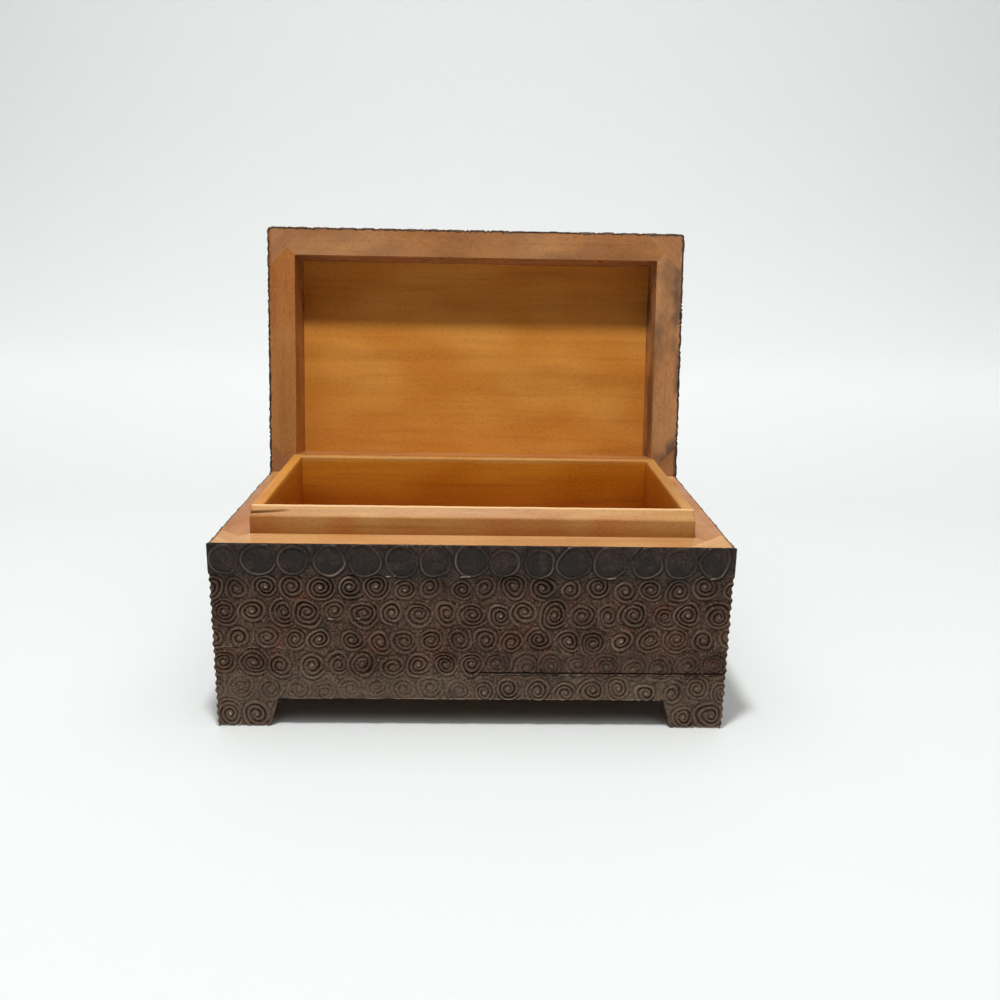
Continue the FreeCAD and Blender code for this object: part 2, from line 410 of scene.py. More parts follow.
@dataclass
class CarvedFace:
    """The carving of one flat face, in the face's own axes."""

    seed: int
    stamps: list[Stamp]
    proud_from: float = 1.0
    black_from: float = 1.0
    pale_below: float = -1.0
    seam: float | None = None
    seam_start: float = 0.0
    scars: tuple[Scar, ...] = ()
    depth: float = 1.0 * MM
    deepest: float = -0.4
    step_down: float = 0.35 * MM
    step_fade: float = 0.9 * MM
    seam_depth: float = 0.55 * MM
    seam_width: float = 0.25 * MM
    seam_shadow: float = 2.2
    seam_fade: float = 4 * MM
    ground: float = 0.62
    tool_marks: float = 0.34
    mark_size: float = 1.5 * MM
    dome: float = 0.3
    stamp_fade: float = 0.45 * MM
    unsteady: float = 1.5 * MM
    unsteady_size: float = 6 * MM
    pressure_size: float = 2.6 * MM
    rubbed_size: float = 9 * MM
    band_fade: float = 3 * MM
    smoke: float = 0.45
    smoke_reach: float = 11 * MM
    smoke_fade: float = 6 * MM
    pale_fade: float = 12 * MM

    def noise(self, u: Array, v: Array, size: float, pattern: Pattern) -> Array:
        """One of the face's own noise patterns."""
        return smooth_noise(u, v, size, self.seed + pattern.value)

    def level(self, v: Array) -> Array:
        """How far the face as a whole is cut back at a height; the row of rings stands proud."""
        return -self.step_down * (1 - ease((v - self.proud_from) / self.step_fade))

    def surface(self, u: Array, v: Array) -> CarvedSurface:
        """Works out the carving at places on the face.

        Args:
            u, v: places along and up the face.
        Returns:
            Heights above the face, mostly below 0, and what colours the stain there.
        """
        carved = self.stamped(u, v)
        carved.height = self.level(v) - self.depth * (1 - np.clip(carved.height, self.deepest, 1))
        self.weather(carved)
        for scar in self.scars:
            self.chip(carved, scar)
        if self.seam is not None:
            self.open_seam(carved)
        return carved

    def stamped(self, u: Array, v: Array) -> CarvedSurface:
        """Strikes the stamps into rough ground, with an unsteady hand.

        Args:
            u, v: places along and up the face.
        Returns:
            The fresh carving, with heights as shares of its depth.
        """
        hand_u = u + self.unsteady * (self.noise(u, v, self.unsteady_size, Pattern.SWAY_ALONG) - 0.5)
        hand_v = v + self.unsteady * (self.noise(u, v, self.unsteady_size, Pattern.SWAY_UP) - 0.5)
        pressure = 0.7 + 0.3 * ease(2.4 * self.noise(u, v, self.pressure_size, Pattern.PRESSURE) - 0.4)
        marks = self.noise(hand_u, hand_v, self.mark_size, Pattern.MARKS)
        height = self.ground + self.tool_marks * (marks - 0.5)
        burn_and_shade = 0.5 * ease(1.4 * (0.55 - marks))
        light = 0.3 * ease(2.2 * (marks - 0.6))
        tint, wear = np.zeros_like(u), np.full_like(u, 0.4)
        for stamp in self.stamps:
            du, dv = hand_u - stamp.u, hand_v - stamp.v
            near = np.flatnonzero((np.abs(du) < stamp.reach) & (np.abs(dv) < stamp.reach))
            r, angle = np.hypot(du[near], dv[near]), np.arctan2(dv[near], du[near])
            own = ease((stamp.reach - r) / self.stamp_fade) * stamp.strength * pressure[near]
            stroke = (*stamp.profile(r, angle), stamp.wear)
            for channel, value in zip((height, burn_and_shade, light, tint, wear), stroke):
                channel[near] += (value - channel[near]) * own
            if stamp.kind is Ornament.SPIRAL:
                height[near] -= self.dome * own * (r / stamp.radius) ** 2
        return CarvedSurface(u, v, height, burn_and_shade, light, tint, wear)

    def weather(self, carved: CarvedSurface) -> None:
        """Rubs the crests, blackens the band of rings and fades the foot of the face.

        Args:
            carved: the carving so far; it is changed.
        """
        v = carved.v
        rubbed = self.noise(carved.u, v, self.rubbed_size, Pattern.RUBBED)
        light = carved.light * (0.3 + 0.7 * carved.wear) * (0.35 + 0.8 * rubbed)
        band = ease((v - self.black_from) / self.band_fade)
        below = ease((v - self.black_from + self.smoke_reach) / self.smoke_fade) * (1 - band)
        tint = carved.tint - self.smoke * below
        black = tint * (1 - band) - band * (0.55 + 0.4 * rubbed) * (1 - 0.5 * light)
        pale = ease((self.pale_below - v) / self.pale_fade) * (0.1 + 0.25 * rubbed)
        carved.tint = np.minimum(tint, black)
        carved.burn_and_shade = carved.burn_and_shade * (1 - pale)
        carved.light = light + 0.35 * pale

    def chip(self, carved: CarvedSurface, scar: Scar) -> None:
        """Chips the stain off along a scar.

        Args:
            carved: the carving so far; it is changed.
            scar: the scar.
        """
        u, v = carved.u, carved.v
        path = scar.v + scar.wander * (self.noise(u, u, scar.wander_size, Pattern.SCAR_PATH) - 0.5)
        left = ease(3 * self.noise(u, v, scar.patch_size, Pattern.SCAR_PATCHES) - scar.patchy)
        on = (u > scar.start) & (u < scar.end)
        pale = hump((v - path) / scar.width) * left * on
        shadow = on * hump((v - path + 1.5 * scar.width) / scar.width)
        carved.light = np.maximum(carved.light, scar.strength * pale)
        carved.burn_and_shade = np.maximum(carved.burn_and_shade, shadow)

    def open_seam(self, carved: CarvedSurface) -> None:
        """Opens the joint between the boards behind the face.

        Args:
            carved: the carving so far; it is changed.
        """
        reached = ease((carved.u - self.seam_start) / self.seam_fade)
        away = (carved.v - self.seam) / self.seam_width
        carved.height -= self.seam_depth * hump(away) * reached
        carved.burn_and_shade = np.maximum(carved.burn_and_shade, hump(away / self.seam_shadow) * reached)


@dataclass
class CarvingPlan:
    """Sets out rows of rings and spirals, the way a hand carver does."""

    seed: int
    ring_slip: float = 0.3 * MM
    spiral_slip: float = 0.5 * MM
    turn_width: float = 1.52 * MM

    def __post_init__(self) -> None:
        """Starts the seeded draws that the small differences come from."""
        self.random = np.random.default_rng(self.seed)

    def ring_row(self, half_span: float, v: float, radius: float, pitch: float) -> list[Stamp]:
        """A row of plain rings.

        Args:
            half_span: half the row's length.
            v: the row's height on the face.
            radius: the rings' size.
            pitch: the distance from ring to ring.
        Returns:
            The stamps.
        """
        count = round(2 * half_span / pitch)
        spacing = 2 * half_span / count
        draw = self.random
        return [
            Stamp(
                Ornament.RING,
                (i + 0.42) * spacing - half_span + draw.normal(0, self.ring_slip),
                radius=radius * draw.uniform(0.94, 1.05),
                v=v + draw.normal(0, self.ring_slip),
                wear=draw.uniform(0.3, 1.0),
                tint=max(0.0, draw.uniform(-1.2, 0.8)),
                dark_side=draw.uniform(0.2, 2.6),
            )
            for i in range(count)
        ]

    def spiral_row(
        self, half_span: float, v: float, radius: float, pitch: float, staggered: bool
    ) -> list[Stamp]:
        """A row of spirals, no two quite alike.

        Args:
            half_span: half the row's length.
            v: the row's height on the face.
            radius: the spirals' usual size.
            pitch: the usual distance from one to the next.
            staggered: whether the row begins and ends with half a spiral.
        Returns:
            The stamps.
        """
        stamps = []
        count = round(2 * half_span / pitch)
        spacing = 2 * half_span / count
        draw = self.random
        for i in range(count + staggered):
            u = (i + 0.5 - 0.5 * staggered) * spacing - half_span
            size = radius * draw.uniform(0.86, 1.1)
            stamps.append(
                Stamp(
                    Ornament.SPIRAL,
                    u + draw.normal(0, self.spiral_slip),
                    v + draw.normal(0, self.spiral_slip),
                    size,
                    phase=draw.uniform(0, 2 * np.pi),
                    turns=size / self.turn_width - SPIRAL_CUT.start + draw.uniform(-0.35, 0.3),
                    wear=draw.uniform(0.1, 1.0),
                    tint=0.6 * max(0.0, draw.uniform(-3.5, 1.0)),
                    dark_side=draw.normal(0.8, 0.9),
                    strength=draw.uniform(0.7, 1.0),
                )
            )
        return stamps


class NodeSheet:
    """The nodes of one material, added and linked by short calls."""

    def __init__(self, name: str) -> None:
        """Starts a material that holds one Principled shader.

        Args:
            name: the material's name.
        """
        self.material = bpy.data.materials.new(name)
        self.material.use_nodes = True
        self.tree = self.material.node_tree
        self.shader = self.tree.nodes["Principled BSDF"]

    def feed(self, socket: Socket, value: object) -> None:
        """Links another socket to this one, or sets its value.

        Args:
            socket: the input.
            value: another node's output, a number or a few numbers.
        """
        if isinstance(value, Socket):
            self.tree.links.new(value, socket)
        else:
            socket.default_value = value

    def add(self, kind: str, inputs: dict, output: int | str = 0, **settings: str) -> Socket:
        """Adds a node.

        Args:
            kind: the node's type, without the word that all of them begin with.
            inputs: what each input is fed, by its name or number.
            output: which output is wanted, by name or number.
            settings: the node's own settings, which are made before its inputs are fed.
        Returns:
            The output.
        """
        node = self.tree.nodes.new("ShaderNode" + kind)
        for name, setting in settings.items():
            setattr(node, name, setting)
        for key, value in inputs.items():
            self.feed(node.inputs[key], value)
        return node.outputs[output]

    def set_shader(self, **inputs: object) -> None:
        """Feeds the shader's inputs.

        Args:
            inputs: their values, named with underscores for spaces.
        """
        names = {socket.name.lower().replace(" ", "_"): socket for socket in self.shader.inputs}
        for name, value in inputs.items():
            self.feed(names[name], value)

    def attribute(self, name: str, output: str) -> Socket:
        """A value that the mesh carries at its points."""
        return self.add("Attribute", {}, output, attribute_name=name)

    def parts(self, vector: Socket) -> list[Socket]:
        """The three numbers of a vector."""
        return list(self.add("SeparateXYZ", {0: vector}).node.outputs)

    def place(self) -> Socket:
        """The place on the piece, in Object coordinates."""
        return self.add("TexCoord", {}, "Object")

    def stretched(self, vector: Socket, scale: tuple[float, float, float]) -> Socket:
        """A place scaled by a different factor along each axis."""
        return self.add("Mapping", {"Vector": vector, "Scale": scale})

    def noise(self, vector: Socket, scale: float, detail: float = 2.0) -> Socket:
        """A noise value from 0 to 1."""
        return self.add("TexNoise", {"Vector": vector, "Scale": scale, "Detail": detail})

    def drawn_out(self, grain: Socket, cells: tuple[float, float], detail: float) -> Socket:
        """Noise with so many cells to the metre along the grain and across it."""
        along, across = cells
        return self.noise(self.stretched(grain, (along, across, across)), 1.0, detail)

    def bands(self, vector: Socket, distortion: float) -> Socket:
        """Wavering bands across the second axis, as growth rings make."""
        inputs = {"Vector": vector, "Scale": 1.0, "Distortion": distortion, "Detail": 3.0}
        return self.add("TexWave", inputs, "Fac", bands_direction="Y")

    def step(self, value: Socket, low: float, high: float, to: tuple[float, float] = (0, 1)) -> Socket:
        """A soft step between two values of an input."""
        inputs = {"Value": value, "From Min": low, "From Max": high, "To Min": to[0], "To Max": to[1]}
        return self.add("MapRange", inputs, interpolation_type="SMOOTHSTEP")

    def combine(self, operation: str, first: object, second: object) -> Socket:
        """One arithmetic operation on two numbers."""
        return self.add("Math", {0: first, 1: second}, operation=operation)

    def distance(self, vector: Socket, spot: tuple[float, float, float]) -> Socket:
        """How far a place is from a fixed spot."""
        return self.add("VectorMath", {0: vector, 1: spot}, "Value", operation="DISTANCE")

    def mix(self, share: object, first: object, second: object) -> Socket:
        """A blend of two colours, which are the node's seventh and eighth inputs."""
        return self.add("Mix", {0: share, 6: first, 7: second}, 2, data_type="RGBA")

    def bump(self, height: Socket, strength: float, depth: float) -> None:
        """Roughens the shader's surface by a height."""
        normal = self.add("Bump", {"Height": height, "Strength": strength, "Distance": depth})
        self.feed(self.shader.inputs["Normal"], normal)


@dataclass(frozen=True)
class BareWood:
    """Planed wood under thin varnish. Its cells are counted to the metre, along the grain and across it."""

    light: Colour
    middle: Colour
    dark: Colour
    ring_share: float = 0.12
    streaks: float = 0.4
    pores: float = 0.34
    blotches: float = 0.0
    blotch: Colour = srgb(106, 80, 62)
    roughness: float = 0.5
    specular: float = 0.35
    relief: float = 0.25
    relief_depth: float = 0.15 * MM
    cloud_cells: tuple[float, float] = (26, 38)
    broad_cells: tuple[float, float] = (9, 90)
    streak_cells: tuple[float, float] = (22, 620)
    fibre_cells: tuple[float, float] = (160, 2600)
    pore_cells: tuple[float, float] = (700, 1900)
    blotch_cells: tuple[float, float] = (50, 100)
    ring_cells: tuple[float, float, float] = (7, 36, 36)
    ring_sway: float = 7.0

    def paint(self, sheet: NodeSheet) -> tuple[Socket, Socket]:
        """Adds the grain's nodes.

        Args:
            sheet: the material that gets them.
        Returns:
            The wood's colour and its surface height.
        """
        grain = sheet.attribute(GRAIN, "Vector")
        broad = sheet.drawn_out(grain, self.broad_cells, 3.0)
        streak = sheet.drawn_out(grain, self.streak_cells, 3.0)
        fibre = sheet.drawn_out(grain, self.fibre_cells, 2.0)
        cloud = sheet.drawn_out(grain, self.cloud_cells, 1.0)
        pores = sheet.drawn_out(grain, self.pore_cells, 2.0)
        rings = sheet.bands(sheet.stretched(grain, self.ring_cells), self.ring_sway)
        layers = [
            (broad, 0.45, 0.8, 0.4, self.dark),
            (rings, 0.8, 1.0, self.ring_share, self.dark),
            (streak, 0.5, 0.85, self.streaks, self.dark),
            (fibre, 0.5, 0.25, 0.3, self.light),
            (pores, 0.5, 0.74, self.pores, self.dark),
            (pores, 0.5, 0.26, self.pores, self.light),
        ]
        if self.blotches:
            soiled = sheet.drawn_out(grain, self.blotch_cells, 3.0)
            layers.append((soiled, 0.38, 0.68, self.blotches, self.blotch))
        colour = sheet.mix(sheet.step(cloud, 0.3, 0.72), self.light, self.middle)
        for mask, low, high, most, over in layers:
            colour = sheet.mix(sheet.step(mask, low, high, (0, most)), colour, over)
        return colour, sheet.combine("ADD", sheet.combine("MULTIPLY", fibre, 0.6), streak)

    def varnish(self, sheet: NodeSheet, colour: Socket, height: Socket) -> Material:
        """Gives a sheet the wood's gloss and relief.

        Args:
            sheet: the material's sheet.
            colour: its colour.
            height: its surface height.
        Returns:
            The material.
        """
        sheet.set_shader(base_color=colour, roughness=self.roughness, specular_ior_level=self.specular)
        sheet.bump(height, self.relief, self.relief_depth)
        return sheet.material

    def material(self, name: str) -> Material:
        """A material of this wood alone."""
        sheet = NodeSheet(name)
        return self.varnish(sheet, *self.paint(sheet))


@dataclass(frozen=True)
class EdgedWood:
    """Varnished wood that turns paler towards its upper edge, where it can carry a painted highlight."""

    face: BareWood
    edge: BareWood
    crack: Colour = srgb(70, 34, 12)
    bright: Colour = srgb(226, 184, 128)

    def material(self, name: str) -> Material:
        """Makes the finish.

        Args:
            name: the material's name.
        Returns:
            A material that reads the paler top, the painted highlight and the cracks that the mesh carries.
        """
        sheet = NodeSheet(name)
        face_colour, height = self.face.paint(sheet)
        edge_colour, _ = self.edge.paint(sheet)
        split, bright, _ = sheet.parts(sheet.attribute(CARVING, "Vector"))
        colour = sheet.mix(sheet.attribute(STAIN, "Fac"), face_colour, edge_colour)
        # painted highlight along the top edge
        colour = sheet.mix(bright, colour, self.bright)
        return self.face.varnish(sheet, sheet.mix(split, colour, self.crack), height)


@dataclass(frozen=True)
class StainedCarving:
    """Dark stain, rubbed off the ridges of the carving, on a board whose other faces are bare; the
    carving's attribute also brings painted shade, highlights and glints.
    """

    wood: BareWood
    ground: Colour = srgb(72, 50, 38)
    brown: Colour = srgb(92, 68, 53)
    groove: Colour = srgb(20, 11, 6)
    crest: Colour = srgb(140, 120, 102)
    red: Colour = srgb(108, 58, 38)
    soot: Colour = srgb(45, 39, 37)
    chip: Colour = srgb(208, 192, 172)
    speck_cells: float = 1500.0
    patch_cells: float = 85.0
    warmth_cells: float = 130.0
    polished: float = 0.26
    dull: float = 0.42

    def stain_colour(self, sheet: NodeSheet, specks: Socket, patches: Socket) -> Socket:
        """Adds the nodes of the stain's colour.

        Args:
            sheet: the material that gets them.
            specks, patches: fine and broad noise.
        Returns:
            The colour.
        """
        burn_and_shade, light, tint = sheet.parts(sheet.attribute(CARVING, "Vector"))
        warmth = sheet.noise(sheet.place(), self.warmth_cells, 3.0)
        colour = sheet.mix(sheet.step(patches, 0.32, 0.7), self.ground, self.brown)
        # Makes a board's top a little uneven and paler towards its top, and paints a highlight along the
        # front board's top edge.
        colour = sheet.mix(sheet.step(warmth, 0.52, 0.74, (0, 0.5)), colour, self.red)
        colour = sheet.mix(sheet.step(warmth, 0.46, 0.27, (0, 0.6)), colour, self.soot)
        colour = sheet.mix(tint, colour, self.red)
        colour = sheet.mix(sheet.step(specks, 0.5, 0.72, (0, 0.6)), colour, self.crest)
        colour = sheet.mix(sheet.combine("MULTIPLY", tint, -1.0), colour, self.soot)
        colour = sheet.mix(sheet.step(specks, 0.5, 0.28, (0, 0.75)), colour, self.groove)
        colour = sheet.mix(light, colour, self.crest)
        # Pale chip colour where the stain is chipped off, and a painted glint on the worn nubs.
        colour = sheet.mix(sheet.step(light, 1.15, 1.75, (0, 0.8)), colour, self.chip)
        # Groove colour for burnt grooves and for painted shade.
        return sheet.mix(burn_and_shade, colour, self.groove)

    def material(self, name: str) -> Material:
        """Makes the finish.

        Args:
            name: the material's name.
        Returns:
            A material that reads the carving and stain that the mesh carries.
        """
        sheet = NodeSheet(name)
        bare, bare_height = self.wood.paint(sheet)
        burn_and_shade, light, _ = sheet.parts(sheet.attribute(CARVING, "Vector"))
        specks = sheet.noise(sheet.place(), self.speck_cells, 4.0)
        patches = sheet.noise(sheet.place(), self.patch_cells, 2.0)
        ragged = sheet.step(specks, 0.2, 0.8, (-0.12, 0.12))
        covered = sheet.step(sheet.combine("ADD", sheet.attribute(STAIN, "Fac"), ragged), 0.48, 0.72)
        shine = sheet.step(light, 0.5, 0.85, (0.02, 1.0))
        sheet.set_shader(
            base_color=sheet.mix(covered, bare, self.stain_colour(sheet, specks, patches)),
            roughness=sheet.step(patches, 0.3, 0.7, (self.polished, self.dull)),
            specular_ior_level=sheet.combine("ADD", sheet.step(burn_and_shade, 0.0, 0.8, (0.12, 0.0)), shine),
        )
        carved_height = sheet.combine("MULTIPLY", sheet.combine("MULTIPLY", specks, 0.8), covered)
        rough = sheet.combine("ADD", carved_height, sheet.combine("MULTIPLY", bare_height, 0.25))
        sheet.bump(rough, 0.35, 0.15 * MM)
        return sheet.material


@dataclass(frozen=True)
class AgedBrass:
    """Brass that has dulled and darkened in the hollows."""

    bright: Colour = srgb(205, 165, 92)
    dull: Colour = srgb(128, 92, 48)
    cloud_cells: float = 260.0
    scratch_cells: tuple[float, float] = (300, 2600)

    def material(self, name: str) -> Material:
        """Makes the finish.

        Args:
            name: the material's name.
        Returns:
            The material.
        """
        sheet = NodeSheet(name)
        place = sheet.place()
        scratches = sheet.drawn_out(place, self.scratch_cells, 2.0)
        tarnish = sheet.step(sheet.noise(place, self.cloud_cells, 3.0), 0.35, 0.75)
        sheet.set_shader(
            base_color=sheet.mix(tarnish, self.bright, self.dull),
            roughness=sheet.step(scratches, 0.2, 0.8, (0.22, 0.46)),
            metallic=1.0,
        )
        sheet.bump(scratches, 0.15, 0.05 * MM)
        return sheet.material


@dataclass(frozen=True)
class PaleFloor:
    """A pale matt sweep of paper, a little greyer near the box."""

    near: Colour = srgb(220, 222, 221)
    far: Colour = srgb(244, 246, 245)
    centre: tuple[float, float, float] = (-0.03, -0.18, 0.0)
    start: float = 0.02
    end: float = 0.7
    waver: tuple[float, float] = (-0.02, 0.02)

    def material(self, name: str) -> Material:
        """Makes the finish.

        Args:
            name: the material's name.
        Returns:
            The material.
        """
        sheet = NodeSheet(name)
        place = sheet.place()
        clouds = sheet.step(sheet.noise(place, 3.0, 1.0), 0.0, 1.0, self.waver)
        away = sheet.combine("ADD", sheet.distance(place, self.centre), clouds)
        sheet.set_shader(
            base_color=sheet.mix(sheet.step(away, self.start, self.end), self.near, self.far),
            roughness=0.9,
            specular_ior_level=0.1,
        )
        return sheet.material


@dataclass(frozen=True)
class Woods:
    """The bare woods of this box, each with the light, middle and dark colours of its grain."""

    rim: BareWood = BareWood(srgb(196, 148, 98), srgb(181, 127, 74), srgb(128, 79, 39))
    side_rim: BareWood = BareWood(srgb(180, 122, 68), srgb(164, 103, 50), srgb(117, 66, 28))
    lid_front: BareWood = BareWood(srgb(178, 128, 83), srgb(163, 106, 60), srgb(112, 66, 34), blotches=0.35)
    lid_right: BareWood = BareWood(srgb(190, 140, 94), srgb(174, 118, 74), srgb(118, 74, 42), blotches=1.0)
    lid_back: BareWood = BareWood(srgb(190, 132, 78), srgb(172, 108, 58), srgb(120, 68, 32))
    lid_left: BareWood = BareWood(srgb(177, 121, 69), srgb(160, 99, 50), srgb(112, 64, 30))
    lid_top: BareWood = BareWood(
        srgb(216, 148, 66), srgb(202, 128, 48), srgb(158, 90, 30), ring_share=0.1, streaks=0.35
    )
    lip_edge: BareWood = BareWood(srgb(187, 138, 75), srgb(177, 122, 60), srgb(122, 72, 30))
    lip: BareWood = BareWood(srgb(178, 110, 48), srgb(164, 94, 38), srgb(118, 62, 22))
    lining: BareWood = BareWood(srgb(214, 138, 36), srgb(194, 112, 13), srgb(144, 76, 4))
    bottom: BareWood = BareWood(srgb(200, 140, 70), srgb(184, 118, 52), srgb(130, 74, 28))
    base_key: BareWood = BareWood(srgb(204, 156, 104), srgb(181, 127, 74), srgb(128, 79, 39))
    lid_key: BareWood = BareWood(srgb(166, 114, 70), srgb(150, 98, 58), srgb(108, 68, 40))

    def lid_rails(self) -> dict[Side, BareWood]:
        """The wood of each of the lid's rails."""
        return dict(zip(Side, (self.lid_front, self.lid_right, self.lid_back, self.lid_left)))


def loose_copy(node: bpy.types.Object, place: Matrix) -> Mesh:
    """A merged copy of a CAD node's mesh with its flat faces made whole.

    Args:
        node: the CAD node's object.
        place: where the copy is moved.
    Returns:
        The copy.
    """
    points = [v.co for v in node.data.vertices]
    mesh = bpy.data.meshes.new("copy")
    mesh.from_pydata(points, [], [tuple(p.vertices) for p in node.data.polygons])
    bm = bmesh.new()
    bm.from_mesh(mesh)
    bpy.data.meshes.remove(mesh)
    bmesh.ops.remove_doubles(bm, verts=bm.verts, dist=TOUCH)
    bmesh.ops.transform(bm, matrix=place, verts=bm.verts)
    bmesh.ops.dissolve_limit(bm, angle_limit=math.radians(0.5), verts=bm.verts, edges=bm.edges)
    return bm


def corner_points(frame: dict, prefix: str, inward: Matrix) -> list[Vector]:
    """The corners of the CAD nodes whose names begin alike, moved into a side's own axes."""
    nodes = [node for name, node in frame["nodes"].items() if name.startswith(prefix)]
    return [inward @ v.co for node in nodes for v in node.data.vertices]


def everything(bm: Mesh) -> list:
    """All of a mesh's points, edges and faces, for an operator."""
    return [*bm.verts, *bm.edges, *bm.faces]


def open_edges(bm: Mesh) -> list:
    """The edges that have a face on one side only."""
    return [e for e in bm.edges if e.is_boundary]


def ends_of(edges: list) -> list:
    """The points at the ends of edges, each once and always in the same order."""
    return list(dict.fromkeys(v for e in edges for v in e.verts))


def grow(bm: Mesh, edges: list) -> list:
    """Extrudes edges where they are and gives the new points."""
    grown = bmesh.ops.extrude_edge_only(bm, edges=edges)["geom"]
    return [g for g in grown if isinstance(g, bmesh.types.BMVert)]


def held_within(value: float, limit: float) -> float:
    """A value moved to the nearest one between minus a limit and the limit."""
    return max(-limit, min(limit, value))


def cut_off(bm: Mesh, place: Vector, outward: Vector) -> None:
    """Cuts off what lies past a plane and leaves the cut open."""
    geom = everything(bm)
    bmesh.ops.bisect_plane(bm, geom=geom, dist=TOUCH, plane_co=place, plane_no=outward, clear_outer=True)


def rise_at(height: float, rises: dict[float, float]) -> float:
    """How far a slanted edge at a height rises on its way back, or 0 where there is none."""
    return next((rise for level, rise in rises.items() if abs(height - level) < TOUCH), 0.0)


def fine_grid(low: Vector, high: Vector, step: float) -> Mesh:
    """A level grid of small squares.

    Args:
        low, high: opposite corners.
        step: about how large the squares are.
    Returns:
        The grid.
    """
    size = high - low
    bm = bmesh.new()
    bmesh.ops.create_grid(
        bm,
        x_segments=round(size.x / step),
        y_segments=round(size.y / step),
        size=0.5,
        matrix=Matrix.Translation((low + high) / 2) @ Matrix.Diagonal((size.x, size.y, 1.0, 1.0)),
    )
    return bm


def edge_line(edge: bmesh.types.BMEdge) -> Vector:
    """The direction of an edge."""
    return (edge.verts[1].co - edge.verts[0].co).normalized()


def ease_edges(bm: Mesh, edges: list, size: float) -> None:
    """Rounds edges of a mesh."""
    shape = {"offset_type": "OFFSET", "segments": 3, "profile": 0.5, "affect": "EDGES", "material": -1}
    bmesh.ops.bevel(bm, geom=edges, offset=size, **shape)


def split_at(edge: bmesh.types.BMEdge, places: Array) -> None:
    """Splits a straight edge at each of the places that lies on it.

    Args:
        edge: the edge.
        places: points, one to a row.
    """
    start, end = edge.verts
    a, line = np.array(start.co), np.array(end.co - start.co)
    length = float(np.linalg.norm(line))
    share = (places - a) @ line / length**2
    off = np.linalg.norm(places - a - share[:, None] * line, axis=1)
    margin = TOUCH / length
    found = np.unique(np.round(share[(off < TOUCH) & (share > margin) & (share < 1 - margin)], 9))
    done = 0.0
    for at in found:
        _, start = bmesh.utils.edge_split(edge, start, (at - done) / (1 - done))
        done = at


def weld(bm: Mesh, first: list, second: list) -> None:
    """Joins two open outlines that lie in one plane, and closes what is left between them.

    Args:
        bm: the mesh that holds both.
        first, second: the edges of the outlines.
    """
    ends = [np.array([v.co for v in ends_of(edges)]) for edges in (first, second)]
    for edges, places in ((first, ends[1]), (second, ends[0])):
        for edge in edges:
            split_at(edge, places)
    bmesh.ops.remove_doubles(bm, verts=ends_of(open_edges(bm)), dist=2 * TOUCH)
    bmesh.ops.holes_fill(bm, edges=open_edges(bm), sides=0)


def in_order(edges: list) -> list:
    """The points of a closed chain of edges, one after the other.

    Args:
        edges: the chain's edges in any order.
    Returns:
        Its points.
    """
    left = set(edges)
    edge = edges[0]
    chain = [edge.verts[0]]
    while edge:
        left.discard(edge)
        chain.append(edge.other_vert(chain[-1]))
        edge = next((e for e in chain[-1].link_edges if e in left), None)
    return chain[:-1]


def is_inside(point: Vector, outline: list[Vector]) -> bool:
    """Whether a point lies inside an outline, counting the sides that a level line crosses.

    Args:
        point: the point.
        outline: the outline's corners, in order.
    Returns:
        True if it does.
    """
    inside = False
    for a, b in zip(outline, outline[1:] + outline[:1]):
        if (a.y > point.y) != (b.y > point.y):
            if point.x < a.x + (point.y - a.y) * (b.x - a.x) / (b.y - a.y):
                inside = not inside
    return inside


def hull(points: list[Vector]) -> list[Vector]:
    """The outline round points of a plane, without the notches that the corner keys need.

    Args:
        points: the points.
    Returns:
        The corners of the outline, in order.
    """
    ordered = sorted(points, key=lambda p: (p.x, p.y))
    halves = []
    for run in (ordered, ordered[::-1]):
        chain = []
        for p in run:
            while len(chain) > 1 and (chain[-1] - chain[-2]).cross(p - chain[-1]).z <= TOUCH**2:
                chain.pop()
            chain.append(p)
        halves += chain[:-1]
    return halves


@dataclass(frozen=True)
class Dressing:
    """What a finished piece is called, stands for and rides on."""

    node: str
    body: str
    slot: str
    material: Material
    grain_shift: tuple[float, float, float] = (0.0, 0.0, 0.0)


def finish_piece(bm: Mesh, dressing: Dressing, place: Matrix) -> None:
    """Makes an object of a mesh, lays its grain and lets it stand for its CAD node.

    Args:
        bm: the mesh, with its first axis along the grain; it is used up.
        dressing: the piece's names and finish.
        place: the move from the mesh's axes to the open box.
    """
    bmesh.ops.recalc_face_normals(bm, faces=bm.faces)
    mesh = bpy.data.meshes.new(dressing.node + "_mesh")
    bm.to_mesh(mesh)
    bm.free()
    spots = np.empty(len(mesh.vertices) * 3, np.float32)
    mesh.vertices.foreach_get("co", spots)
    spots = spots.reshape(-1, 3) + np.array(dressing.grain_shift, np.float32)
    mesh.attributes.new(GRAIN, "FLOAT_VECTOR", "POINT").data.foreach_set("vector", spots.ravel())
    mesh.transform(place)
    mesh.materials.append(dressing.material)
    piece = bpy.data.objects.new(dressing.node + "_wood", mesh)
    bpy.context.scene.collection.objects.link(piece)
    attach(piece, dressing.body)
    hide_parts(dressing.node)
    LOG.info("%s: %d faces", piece.name, len(mesh.polygons))


